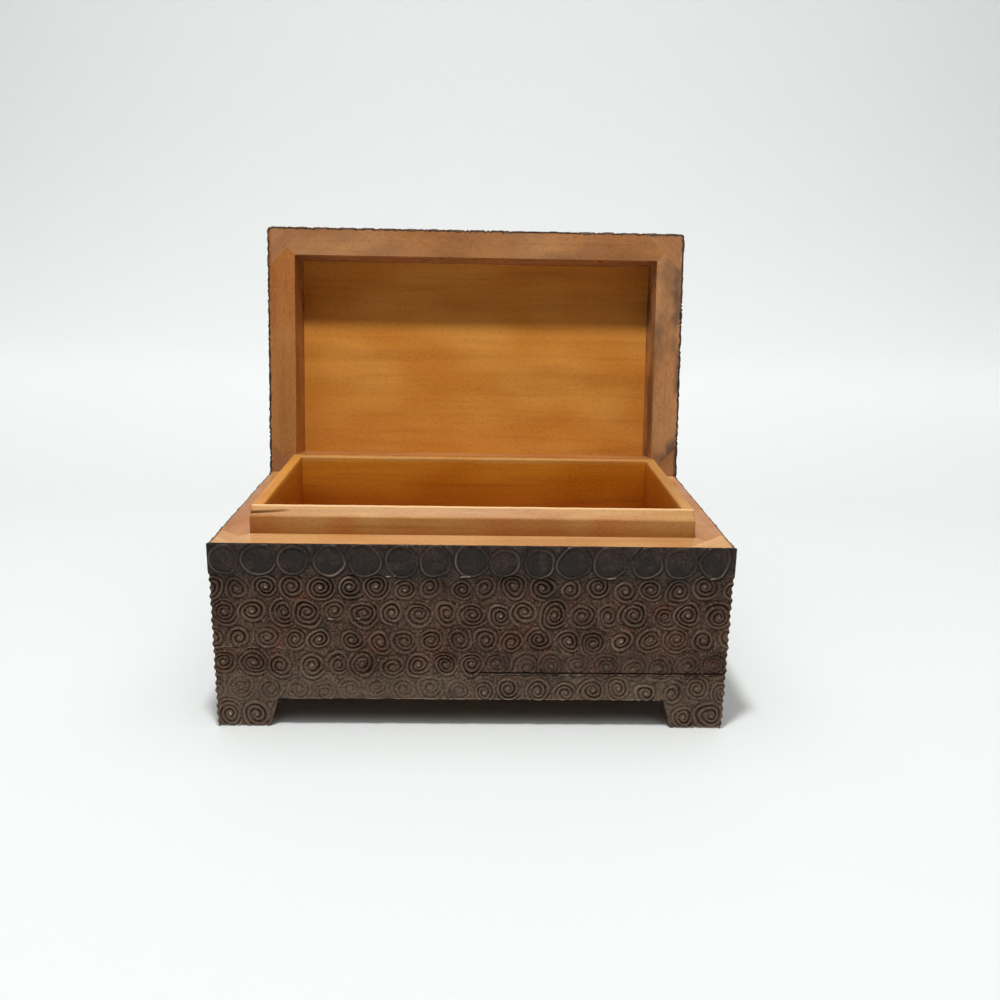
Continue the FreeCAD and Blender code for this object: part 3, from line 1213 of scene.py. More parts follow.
@dataclass
class BoardCarver:
    """Makes boards whose outer face is a finely carved skin on the CAD board's body."""

    sizes: BoxSizes
    grid_step: float = 0.305 * MM
    skin: float = 1.6 * MM
    corner_round: float = 0.5 * MM
    corner_blend: float = 1.6 * MM
    corner_proud: float = 0.15 * MM
    notch: float = 0.85 * MM
    notch_pitch: float = 2.9 * MM
    notch_drift: float = 8.3 * MM
    edge_round: float = 0.35 * MM
    edge_burn: float = 0.5
    edge_wear: float = 1.5
    edge_wear_size: float = 6 * MM

    def corner_height(self, face: CarvedFace, v: Array) -> Array:
        """How the carving cuts the upright corners, the same for both faces that meet there.

        Args:
            face: the carving of one of the faces.
            v: heights on it.
        Returns:
            Heights above the corner.
        """
        short, long = (np.sin(2 * np.pi * v / pitch) for pitch in (self.notch_pitch, self.notch_drift))
        waves = 0.5 + 0.32 * short + 0.18 * long
        return self.corner_proud - self.notch * waves * np.abs(face.level(v) / face.step_down)

    def on_face(self, side: Side, face: CarvedFace, u: Array, v: Array) -> tuple[Array, CarvedSurface]:
        """Carves places of a flat side and rounds the side's upright edges.

        Args:
            side: which side of the box.
            face: its carving.
            u, v: places along and up the side.
        Returns:
            Points in the side's own axes, one to a row, and the carving there.
        """
        span, reach, bend = self.sizes.half_span(side), self.sizes.reach(side), self.corner_round
        carved = face.surface(u, v)
        inset = np.clip(span - np.abs(u), 0.0, None)
        own = ease(inset / self.corner_blend)
        height = own * carved.height + (1 - own) * self.corner_height(face, v)
        angle = np.clip(1 - inset / bend, 0.0, 1.0) * math.pi / 4
        outward = np.sign(u)
        along = np.where(inset < bend, outward * (span - bend + bend * np.sin(angle)), u)
        along = along + outward * np.sin(angle) * height
        out = reach - bend + bend * np.cos(angle) + np.cos(angle) * height
        return np.column_stack([along, v, out]), carved

    def carve(
        self,
        side: Side,
        face: CarvedFace,
        core: Mesh,
        eased: float,
        key_points: list[Vector] | None = None,
        stain: float = 0.0,
    ) -> Mesh:
        """Puts a carved skin on a board.

        Args:
            side: the board's side of the box.
            face: the carving.
            core: the CAD board in the side's own axes; it is used up.
            eased: the height of the level edge that is rubbed round.
            key_points: corners of the keys that the skin hides, or none where it has cut-outs.
            stain: how much stain the board's other faces have.
        Returns:
            The board, closed.
        """
        span, reach = self.sizes.half_span(side), self.sizes.reach(side)
        cut_off(core, Vector((0, 0, reach - self.skin)), Vector((0, 0, 1)))
        outline, rises = self.outline(core, span)
        if key_points:
            outline = hull(outline + [p for p in key_points if abs(p.z - reach) < TOUCH])
        bm = self.flat_skin(outline, reach)
        carving = bm.verts.layers.float_vector.new(CARVING)
        stained = bm.verts.layers.float.new(STAIN)
        surface = list(bm.verts)
        worn = self.worn_edge(surface)
        self.grow_back(bm, span, reach, rises)
        flat = np.array([v.co for v in surface])
        points, carved = self.on_face(side, face, flat[:, 0], flat[:, 1])
        drop = np.clip(self.edge_round - np.abs(flat[:, 1] - eased), 0.0, None)
        points[:, 2] -= self.edge_round - np.sqrt(self.edge_round**2 - drop**2)
        if eased > 0:
            carved.burn_and_shade = np.maximum(carved.burn_and_shade, self.edge_burn * ease(2 * drop / self.edge_round))
        rubbed = face.noise(flat[worn, 0], flat[worn, 1], self.edge_wear_size, Pattern.WORN_EDGE)
        carved.light[worn] += self.edge_wear * ease(2 * rubbed)
        values = np.column_stack([carved.burn_and_shade, carved.light, carved.tint])
        for vert, point, value in zip(surface, points, values):
            vert.co = point
            vert[carving] = value
        self.join_core(bm, core)
        for vert in bm.verts:
            vert[stained] = stain
        for vert in surface:
            vert[stained] = 1.0
        return bm

    def worn_edge(self, surface: list) -> list[int]:
        """Finds where a plinth rail's lower edges and feet are rubbed.

        Args:
            surface: the points of the flat skin.
        Returns:
            Which of them lie on a level lower edge or next to it.
        """
        low = {v for v in surface if v.is_boundary and v.co.y < self.sizes.plinth_top - MM}
        apron = max((v.co.y for v in low if abs(v.co.x) < MM), default=0.0)
        low = {v for v in low if v.co.y < TOUCH or abs(v.co.y - apron) < TOUCH}
        low |= {edge.other_vert(v) for v in low for edge in v.link_edges}
        return [i for i, v in enumerate(surface) if v in low]

    def grow_back(self, bm: Mesh, span: float, reach: float, rises: dict[float, float]) -> None:
        """Grows the skin's edge back to the body behind it, mitred at the upright corners.

        Args:
            bm: the flat skin.
            span: half the length of the side's face.
            reach: how far out the face lies.
            rises: for each height with a slanted edge, how far that edge rises on its way back.
        """
        for face in bm.faces:
            face.smooth = True
        rim = open_edges(bm)
        for edge in rim:
            edge.smooth = False
        back = grow(bm, rim)
        for vert in back:
            vert.co.y += rise_at(vert.co.y, rises)
            vert.co.x = held_within(vert.co.x, span - self.skin)
            vert.co.z = reach - self.skin
        bmesh.ops.remove_doubles(bm, verts=back, dist=TOUCH)

    def flat_skin(self, outline: list[Vector], reach: float) -> Mesh:
        """A flat fine grid cut to an outline.

        Args:
            outline: corners in the face's own axes, in order.
            reach: how far out the face lies.
        Returns:
            The grid.
        """
        low = Vector((min(p.x for p in outline), min(p.y for p in outline), reach))
        high = Vector((max(p.x for p in outline), max(p.y for p in outline), reach))
        bm = fine_grid(low, high, self.grid_step)
        for start, end in zip(outline, outline[1:] + outline[:1]):
            self.cut_along(bm, start, end)
        outside = [f for f in bm.faces if not is_inside(f.calc_center_median(), outline)]
        bmesh.ops.delete(bm, geom=outside, context="FACES")
        return bm

    def cut_along(self, bm: Mesh, start: Vector, end: Vector) -> None:
        """Cuts the grid's faces along one straight piece of an outline.

        Args:
            bm: the grid.
            start, end: the piece's ends.
        """
        margin = 2 * self.grid_step
        low = [min(start[i], end[i]) - margin for i in range(2)]
        high = [max(start[i], end[i]) + margin for i in range(2)]
        firsts = [(f, f.verts[0].co) for f in bm.faces]
        faces = [f for f, p in firsts if low[0] < p.x < high[0] and low[1] < p.y < high[1]]
        edges = list(dict.fromkeys(e for f in faces for e in f.edges))
        across = (end - start).cross(Vector((0, 0, 1)))
        across.z = 0.0
        geom = [*ends_of(edges), *edges, *faces]
        bmesh.ops.bisect_plane(bm, geom=geom, dist=TOUCH / 4, plane_co=start, plane_no=across.normalized())

    def outline(self, core: Mesh, span: float) -> tuple[list[Vector], dict[float, float]]:
        """Works out a board's outer edge from the body that is left behind the skin.

        Args:
            core: the CAD board in the side's own axes, cut back behind the skin.
            span: half the length of the side's face.
        Returns:
            The outer face's corners in order, and for each height at which the outer face has
            a slanted edge, how far that edge rises on its way back through the skin.
        """
        core.normal_update()
        loop = in_order(open_edges(core))
        slants = {}
        for face in core.faces:
            levels = [v.co.y for v in face.verts if v.is_boundary]
            if len(levels) > 1 and min(abs(face.normal.y), abs(face.normal.z)) > 0.1 > abs(face.normal.x):
                slants[levels[0]] = self.skin * face.normal.z / face.normal.y
        points = []
        for before, here, after in zip(loop[-1:] + loop[:-1], loop, loop[1:] + loop[:1]):
            point = here.co.copy()
            if abs(point.x) > span - self.skin - TOUCH:
                beside = next((n.co for n in (before, after) if abs(n.co.x - point.x) > TOUCH), None)
                line = point - beside if beside else Vector((point.x, 0, 0))
                point = point + line * ((span - abs(point.x)) / abs(line.x))
            point.y -= rise_at(here.co.y, slants)
            points.append(point)
        return points, {level - rise: rise for level, rise in slants.items()}

    def join_core(self, bm: Mesh, core: Mesh) -> None:
        """Welds the skin and the body behind it into one closed mesh.

        Args:
            bm: the skin, open at the back.
            core: the CAD board, cut back behind the skin; it is used up.
        """
        skin_rim = open_edges(bm)
        mesh = bpy.data.meshes.new("core")
        core.to_mesh(mesh)
        core.free()
        known = set(bm.edges)
        bm.from_mesh(mesh)
        bpy.data.meshes.remove(mesh)
        core_rim = [e for e in open_edges(bm) if e not in known]
        weld(bm, skin_rim, core_rim)


@dataclass
class BaseCase:
    """The base: four carved boards on a plinth with bracket feet."""

    frame: dict
    sizes: BoxSizes
    carver: BoardCarver
    board_finish: Material
    side_finish: Material
    plinth_finish: Material
    seed: int = 40
    log_step: float = 0.31
    log_place: tuple[float, float] = (0.17, 0.05)
    ring_drop: float = 5.7 * MM
    ring_radius: float = 5.3 * MM
    ring_pitch: float = 12.0 * MM
    band_edge: float = 0.4 * MM
    spiral_pitch: float = 9.4 * MM
    small_spiral: float = 4.6 * MM
    large_spiral: float = 5.2 * MM
    row_step: float = 9.9 * MM
    flat_row: int = 2
    flat_strength: float = 0.45
    flat_soot: float = -0.8
    pale_above_plinth: float = 2 * MM
    seam_scar_drop: float = 0.6 * MM
    long_scar: tuple[float, float, float] = (2 * MM, 23 * MM, 29.9 * MM)
    chip_length: float = 3 * MM
    chip_width: float = 0.35 * MM
    band_chips: tuple[float, ...] = (-29.5 * MM, -4 * MM, 45.5 * MM, 81 * MM)
    band_chip_drop: float = 0.7 * MM
    row_chips: tuple[float, ...] = (-41 * MM, -49.5 * MM)
    row_chip_height: float = 40.6 * MM

    def spirals(self, side: Side, plan: CarvingPlan, flat_from: float) -> list[Stamp]:
        """Sets out the rows of spirals of one side, over its board and plinth alike.

        Args:
            side: which side of the box.
            plan: what draws the stamps.
            flat_from: where along the side the rubbed stretch of one row gives way to the next row's.
        Returns:
            The stamps, row by row.
        """
        span, stamps = self.sizes.half_span(side), []
        rows = round(self.sizes.band_bottom / self.row_step)
        step = self.sizes.band_bottom / rows
        for row in range(rows):
            staggered = row % 2 == 1
            radius = self.small_spiral if staggered else self.large_spiral
            for stamp in plan.spiral_row(span, (row + 0.5) * step, radius, self.spiral_pitch, staggered):
                if row == self.flat_row and stamp.u > flat_from:
                    stamp = replace(stamp, strength=self.flat_strength, tint=self.flat_soot)
                elif row == self.flat_row - 1 and stamp.u < flat_from:
                    stamp = replace(stamp, strength=self.flat_strength)
                stamps.append(stamp)
        return stamps

    def scars(self, side: Side, seam_start: float) -> tuple[Scar, ...]:
        """Sets out where the stain of one side is chipped.

        Args:
            side: which side of the box.
            seam_start: where along the side the open joint begins.
        Returns:
            The scars.
        """
        span, band = self.sizes.half_span(side), self.sizes.band_bottom
        scars = [Scar(seam_start, 0.95 * span, self.sizes.plinth_top - self.seam_scar_drop)]
        if side is Side.FRONT:
            start, end, height = self.long_scar
            scars.append(Scar(start - span, end - span, height, patchy=1.2))
            chips = [(u, band - self.band_chip_drop) for u in self.band_chips]
            for u, v in chips + [(u, self.row_chip_height) for u in self.row_chips]:
                scars.append(Scar(u, u + self.chip_length, v, self.chip_width, patchy=0.4, strength=1.8))
        return tuple(scars)

    def face(self, side: Side) -> CarvedFace:
        """Sets out the carving of one side.

        Args:
            side: which side of the box.
        Returns:
            The carving.
        """
        seed = self.seed + side.number
        plan = CarvingPlan(seed)
        span, band = self.sizes.half_span(side), self.sizes.band_bottom
        start = 0.0 if side.is_long else -0.3 * span
        stamps = self.spirals(side, plan, start)
        stamps += plan.ring_row(span, self.sizes.rim - self.ring_drop, self.ring_radius, self.ring_pitch)
        return CarvedFace(
            seed,
            stamps,
            proud_from=band - self.band_edge,
            black_from=band,
            pale_below=self.sizes.plinth_top + self.pale_above_plinth,
            seam=self.sizes.plinth_top,
            seam_start=start,
            scars=self.scars(side, start),
        )

    def build(self) -> None:
        """Builds the boards and the plinth's rails."""
        for side in Side:
            face = self.face(side)
            inward = side.turn.inverted()
            shift = (self.log_step * side.number, *self.log_place)
            node = "base_" + side.value
            core = loose_copy(self.frame["nodes"][node], inward)
            keys = corner_points(self.frame, "base_key_", inward)
            board = self.carver.carve(side, face, core, self.sizes.rim, keys)
            finish = self.board_finish if side.is_long else self.side_finish
            finish_piece(board, Dressing(node, "base", "base_wood", finish, shift), side.turn)
            node = "plinth_" + side.value
            core = loose_copy(self.frame["nodes"][node], inward)
            rail = self.carver.carve(side, face, core, 0.0, stain=1.0)
            finish_piece(rail, Dressing(node, "base", "plinth_wood", self.plinth_finish, shift), side.turn)


@dataclass
class CornerKeys:
    """The three-cornered keys of the base or the lid, cut back behind the carved skin."""

    frame: dict
    carver: BoardCarver
    body: str
    closing: Matrix
    finish: Material
    grain_shift: tuple[float, float, float] = (0.4, 0.02, 0.3)

    def build(self) -> None:
        """Builds the keys with their grain across the corners."""
        prefix = self.body + "_key_"
        for node in sorted(n for n in self.frame["nodes"] if n.startswith(prefix)):
            bm = loose_copy(self.frame["nodes"][node], self.closing)
            for side in Side:
                outward = side.turn.to_3x3() @ Vector((0, 0, 1))
                cut_off(bm, outward * (self.carver.sizes.reach(side) - self.carver.skin), outward)
                bmesh.ops.holes_fill(bm, edges=open_edges(bm), sides=0)
            slant = 1 if ("front" in node) == ("left" in node) else -1
            across = Matrix.Rotation(slant * math.pi / 4, 4, "Z")
            bmesh.ops.transform(bm, matrix=across, verts=bm.verts)
            dressing = Dressing(node, self.body, "key_wood", self.finish, self.grain_shift)
            finish_piece(bm, dressing, self.closing.inverted() @ across.inverted())


@dataclass
class Lid:
    """The lid: four carved rails and a carved board over them."""

    frame: dict
    sizes: BoxSizes
    carver: BoardCarver
    rail_finishes: dict[Side, Material]
    top_finish: Material
    side_seed: int = 60
    top_seed: int = 71
    log_step: float = 0.23
    log_place: tuple[float, float] = (0.4, 0.11)
    top_grain: tuple[float, float, float] = (0.7, 0.03, 0.2)
    spiral: float = 4.9 * MM
    spiral_pitch: float = 9.4 * MM
    first_row: float = 3.9 * MM
    row_step: float = 9.9 * MM
    rows: int = 3
    back_step: float = 0.03 * MM
    side_step: float = -0.45 * MM
    ring_radius: float = 5.3 * MM
    ring_pitch: float = 12.0 * MM
    edge_round: float = 2.0 * MM
    edge_blend: float = 2 * MM
    edge_drop: float = 0.5 * MM
    edge_light: float = 0.3
    round_drop: float = 0.2 * MM
    round_blend: float = 2.5 * MM
    top_step: float = 0.46 * MM
    rim_rows: int = 24
    round_rows: int = 8

    def side_face(self, side: Side) -> CarvedFace:
        """Sets out the carving of one of the lid's sides, over its rail and the edge of the top.

        Args:
            side: which side of the box.
        Returns:
            The carving.
        """
        seed = self.side_seed + side.number
        plan = CarvingPlan(seed)
        span, stamps = self.sizes.half_span(side), []
        for row in range(self.rows):
            v = self.sizes.lid_rim + self.first_row + row * self.row_step
            stamps += plan.spiral_row(span, v, self.spiral, self.spiral_pitch, row % 2 == 1)
        return CarvedFace(
            seed,
            stamps,
            seam=self.sizes.lid_ceiling,
            seam_start=0.2 * span,
            step_down=self.back_step if side is Side.BACK else self.side_step,
        )

    def top_face(self) -> CarvedFace:
        """Sets out the carving of the lid's upper face: a border of rings round rows of spirals.

        Returns:
            The carving.
        """
        plan = CarvingPlan(self.top_seed)
        wide, deep = self.sizes.half_width, self.sizes.half_depth
        across, along = self.sizes.field_half_depth, self.sizes.field_half_width
        rows = round(2 * across / self.row_step)
        step = 2 * across / rows
        ring = (self.ring_radius, self.ring_pitch)
        stamps = []
        for row in range(rows):
            v = (row + 0.5) * step - across
            stamps += plan.spiral_row(along, v, self.spiral, self.spiral_pitch, row % 2 == 1)
        for way in (-1, 1):
            stamps += plan.ring_row(wide - self.edge_round, way * (deep + across) / 2, *ring)
            upright = plan.ring_row(across, way * (wide + along) / 2, *ring)
            stamps += [replace(s, u=s.v, v=s.u) for s in upright]
        return CarvedFace(self.top_seed, stamps)

    def build(self) -> None:
        """Builds the rails and the top."""
        closing = self.sizes.closing
        opening = closing.inverted()
        faces = {side: self.side_face(side) for side in Side}
        for side, face in faces.items():
            node = "lid_" + side.value
            inward = side.turn.inverted() @ closing
            core = loose_copy(self.frame["nodes"][node], inward)
            keys = corner_points(self.frame, "lid_key_", inward)
            rail = self.carver.carve(side, face, core, self.sizes.lid_rim, keys)
            shift = (self.log_step * side.number, *self.log_place)
            dressing = Dressing(node, "lid", "lid_wood", self.rail_finishes[side], shift)
            finish_piece(rail, dressing, opening @ side.turn)
        top = self.carved_top(faces)
        finish_piece(top, Dressing("lid_top", "lid", "lid_wood", self.top_finish, self.top_grain), opening)

    def edge_rings(self) -> list[tuple[float, float]]:
        """How far out from the flat and below the top each ring of points round the edge lies.

        Returns:
            A pair for each ring, down the eased edge and then down the side.
        """
        bend, count = self.edge_round, self.round_rows
        angles = [i * math.pi / 2 / count for i in range(1, count + 1)]
        rings = [(bend * math.sin(a), bend * (1 - math.cos(a))) for a in angles]
        height = self.sizes.lid_top - bend - self.sizes.lid_ceiling
        return rings + [(bend, bend + height * i / self.rim_rows) for i in range(1, self.rim_rows + 1)]

    def carved_top(self, faces: dict[Side, CarvedFace]) -> Mesh:
        """The top board: a carved upper face, eased over its edges into the carved sides.

        Args:
            faces: the carving of the lid's sides.
        Returns:
            The board, closed, in the closed box's axes.
        """
        s = self.sizes
        flat_x, flat_y = s.half_width - self.edge_round, s.half_depth - self.edge_round
        corner = Vector((flat_x, flat_y, s.lid_top))
        bm = fine_grid(Vector((-flat_x, -flat_y, s.lid_top)), corner, self.top_step)
        carving = bm.verts.layers.float_vector.new(CARVING)
        stained = bm.verts.layers.float.new(STAIN)
        upper = list(bm.verts)
        rings = []
        for out, drop in self.edge_rings():
            ring = grow(bm, open_edges(bm))
            for vert in ring:
                x, y = vert.co.x, vert.co.y
                if abs(x) > flat_x - TOUCH:
                    vert.co.x = math.copysign(flat_x + out, x)
                if abs(y) > flat_y - TOUCH:
                    vert.co.y = math.copysign(flat_y + out, y)
                vert.co.z = s.lid_top - drop
            rings.append((out, drop, ring))
        for face in bm.faces:
            face.smooth = True
        self.close_under(bm)
        self.carve_upper(upper, carving)
        for out, drop, ring in rings:
            self.carve_ring(ring, out, drop, faces, carving)
            upper += ring
        for vert in upper:
            vert[stained] = 1.0
        return bm

    def close_under(self, bm: Mesh) -> None:
        """Closes the top board below, with a bare ceiling.

        Args:
            bm: the board's upper face and edges.
        """
        edges = open_edges(bm)
        under = grow(bm, edges)
        for vert in under:
            vert.co.x = held_within(vert.co.x, self.sizes.half_width - self.carver.skin)
            vert.co.y = held_within(vert.co.y, self.sizes.half_depth - self.carver.skin)
        for edge in edges:
            edge.smooth = False
        bmesh.ops.remove_doubles(bm, verts=under, dist=TOUCH)
        for face in bmesh.ops.holes_fill(bm, edges=open_edges(bm), sides=0)["faces"]:
            face.smooth = False

    def carve_upper(self, verts: list, carving: object) -> None:
        """Carves the points of the lid's upper face.

        Args:
            verts: the points.
            carving: the mesh's layer for what the stain reads.
        """
        flat = np.array([v.co for v in verts])
        carved = self.top_face().surface(flat[:, 0], flat[:, 1])
        limits = np.array([self.sizes.half_width, self.sizes.half_depth])
        inset = np.min(limits - np.abs(flat[:, :2]), axis=1)
        own = ease((inset - self.edge_round) / self.edge_blend)
        heights = carved.height * own - self.edge_drop * (1 - own)
        light = carved.light * own + self.edge_light * (1 - own)
        values = np.column_stack([carved.burn_and_shade * own, light, carved.tint])
        for vert, height, value in zip(verts, heights, values):
            vert.co.z += height
            vert[carving] = value

    def carve_ring(
        self, verts: list, out: float, drop: float, faces: dict[Side, CarvedFace], carving: object
    ) -> None:
        """Carves one ring of points round the top board's edge.

        Args:
            verts: the ring's points.
            out, drop: how far the ring lies out from the flat and below the top.
            faces: the carving of the lid's sides.
            carving: the mesh's layer for what the stain reads.
        """
        own = float(ease(np.array((drop - 0.3 * self.edge_round) / self.round_blend)))
        lean = min(1.0, out / self.edge_round)
        sunk = self.round_drop * (1 - own)
        for side in Side:
            inward = side.turn.inverted()
            full_span, full_reach = self.sizes.half_span(side), self.sizes.reach(side)
            span, reach = full_span - self.edge_round + out, full_reach - self.edge_round + out
            mine = [v for v in verts if abs((inward @ v.co).z - reach) < TOUCH]
            local = np.array([inward @ v.co for v in mine])
            u = np.clip(local[:, 0] / span, -1, 1) * full_span
            points, carved = self.carver.on_face(side, faces[side], u, local[:, 1])
            local[:, 0] += (points[:, 0] - u) * lean
            local[:, 1] -= sunk * (1 - lean)
            local[:, 2] += ((points[:, 2] - full_reach) * own - sunk) * lean
            light = carved.light * own + self.edge_light * (1 - own)
            values = np.column_stack([carved.burn_and_shade * own, light, carved.tint])
            for vert, point, value in zip(mine, local, values):
                vert.co = side.turn @ Vector(point)
                vert[carving] = value


@dataclass
class Lining:
    """The bare lining boards, whose tops make the lip, and the bottom board."""

    frame: dict
    sizes: BoxSizes
    lip_finish: Material
    finish: Material
    bottom_finish: Material
    seed: int = 90
    rub_seed: int = 95
    streak_seed: int = 97
    log_step: float = 0.19
    log_place: tuple[float, float] = (0.6, 0.01)
    rubbed: tuple[float, float, float, float] = (1.0, 0.95, 0.85, 0.5)
    lip_fade: float = 9.0 * MM
    edge_fade: float = 1.6 * MM
    edge_round: float = 0.45 * MM
    step: float = 0.6 * MM
    cuts_across: int = 10
    strip_widths: tuple[float, float] = (2 * MM, 8 * MM)
    held_height: float = 4 * MM
    wobble: float = 0.12 * MM
    wobble_size: float = 14 * MM
    rub_size: float = 3 * MM
    streak_size: float = 9 * MM
    # the width of the painted highlight along the front board's top edge
    highlight_edge: float = 0.55 * MM
    highlight_fade: float = 0.4 * MM
    crack_length: float = 13.0 * MM
    crack_depth: float = 0.7 * MM
    crack_width: float = 0.4 * MM
    crack_drop: float = 2.2 * MM
    crack_rise: float = 0.5 * MM
    crack_zone: float = 3.2 * MM

    def build(self) -> None:
        """Builds the four lining boards and the bottom."""
        for side in Side:
            node = "liner_" + side.value
            board = self.softened(node, side)
            self.wear(board, side)
            if side is Side.FRONT:
                self.crack(board)
            shift = (self.log_step * side.number, *self.log_place)
            finish = self.lip_finish if side is Side.FRONT else self.finish
            finish_piece(board, Dressing(node, "base", "lining_wood", finish, shift), side.turn)
        still = Matrix.Identity(4)
        bm = loose_copy(self.frame["nodes"]["bottom_panel"], still)
        ease_edges(bm, list(bm.edges), self.edge_round)
        finish_piece(bm, Dressing("bottom_panel", "base", "lining_wood", self.bottom_finish), still)

    def softened(self, node: str, side: Side) -> Mesh:
        """A lining board with rounded upper edges, divided finely enough to wear.

        Args:
            node: the CAD board.
            side: its side of the box.
        Returns:
            The board in the side's own axes.
        """
        bm = loose_copy(self.frame["nodes"][node], side.turn.inverted())
        upper = [e for e in bm.edges if min(v.co.y for v in e.verts) > self.sizes.rim + MM]
        ease_edges(bm, upper, self.edge_round)
        under = Vector((0, max(v.co.y for v in bm.verts) - 1.5 * self.edge_fade, 0))
        bmesh.ops.bisect_plane(bm, geom=everything(bm), dist=TOUCH, plane_co=under, plane_no=(0, 1, 0))
        narrow, wide = self.strip_widths
        across = [e for e in bm.edges if narrow < e.calc_length() < wide and abs(edge_line(e).x) < 0.1]
        bmesh.ops.subdivide_edges(bm, edges=across, cuts=self.cuts_across, use_grid_fill=True)
        along = [e for e in bm.edges if abs(edge_line(e).x) > 0.9]
        span = max(v.co.x for v in bm.verts)
        bmesh.ops.subdivide_edges(bm, edges=along, cuts=round(2 * span / self.step), use_grid_fill=True)
        for face in bm.faces:
            face.smooth = len(face.verts) == 4
        return bm

    def wear(self, bm: Mesh, side: Side) -> None:
        """Makes a board's top a little uneven, and pale where hands have rubbed it.

        Args:
            bm: the board in its side's own axes.
            side: its side of the box.
        """
        along, up, out = np.array([v.co for v in bm.verts]).T
        top = up.max()
        free = ease((up - self.sizes.rim) / self.held_height)
        sway = (smooth_noise(along, up, self.wobble_size, self.seed + side.number) - 0.5) * free
        sink = smooth_noise(along, out, self.rub_size, self.rub_seed) * free
        streaks = smooth_noise(along, 8 * up, self.streak_size, self.streak_seed) - 0.5
        drop = (top - up) / (self.lip_fade if side is Side.FRONT else self.edge_fade)
        pale = np.clip(1 - drop + 0.9 * streaks * np.clip(3 * drop, 0, 1), 0, 1) * self.rubbed[side.number]
        # a painted highlight along the front board's top edge
        bright = (side is Side.FRONT) * 0.9 * ease((self.highlight_edge - top + up) / self.highlight_fade)
        stained = bm.verts.layers.float.new(STAIN)
        carving = bm.verts.layers.float_vector.new(CARVING)
        for vert, lean, worn, share, shine in zip(bm.verts, sway, sink, pale, bright):
            vert.co.z += lean * self.wobble
            vert.co.y -= worn * self.wobble
            vert[stained] = share
            vert[carving] = (0.0, shine, 0.0)

    def crack(self, bm: Mesh) -> None:
        """Opens the split along the grain at the lip's left end.

        Args:
            bm: the front board in its side's own axes.
        """
        carving = bm.verts.layers.float_vector[CARVING]
        end = min(v.co.x for v in bm.verts)
        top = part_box("liner_front")[1].z
        for vert in bm.verts:
            run = (vert.co.x - end) / self.crack_length
            if run < 1 and vert.co.y > top - self.crack_zone:
                line = top - self.crack_drop + self.crack_rise * run
                cut = float(hump(np.array((vert.co.y - line) / self.crack_width))) * (1 - run) ** 0.5
                vert.co.z -= cut * self.crack_depth
                vert.co.y -= cut * self.crack_depth
                vert[carving].x = cut


@dataclass
class Hinges:
    """The brass butt hinges, which stay as the CAD made them."""

    frame: dict
    finish: Material

    def build(self) -> None:
        """Gives every brass node its finish."""
        for name, node in sorted(self.frame["nodes"].items()):
            if "hinge" in name:
                for slot in node.material_slots:
                    slot.material = self.finish
                LOG.info("%s: dressed in brass", name)


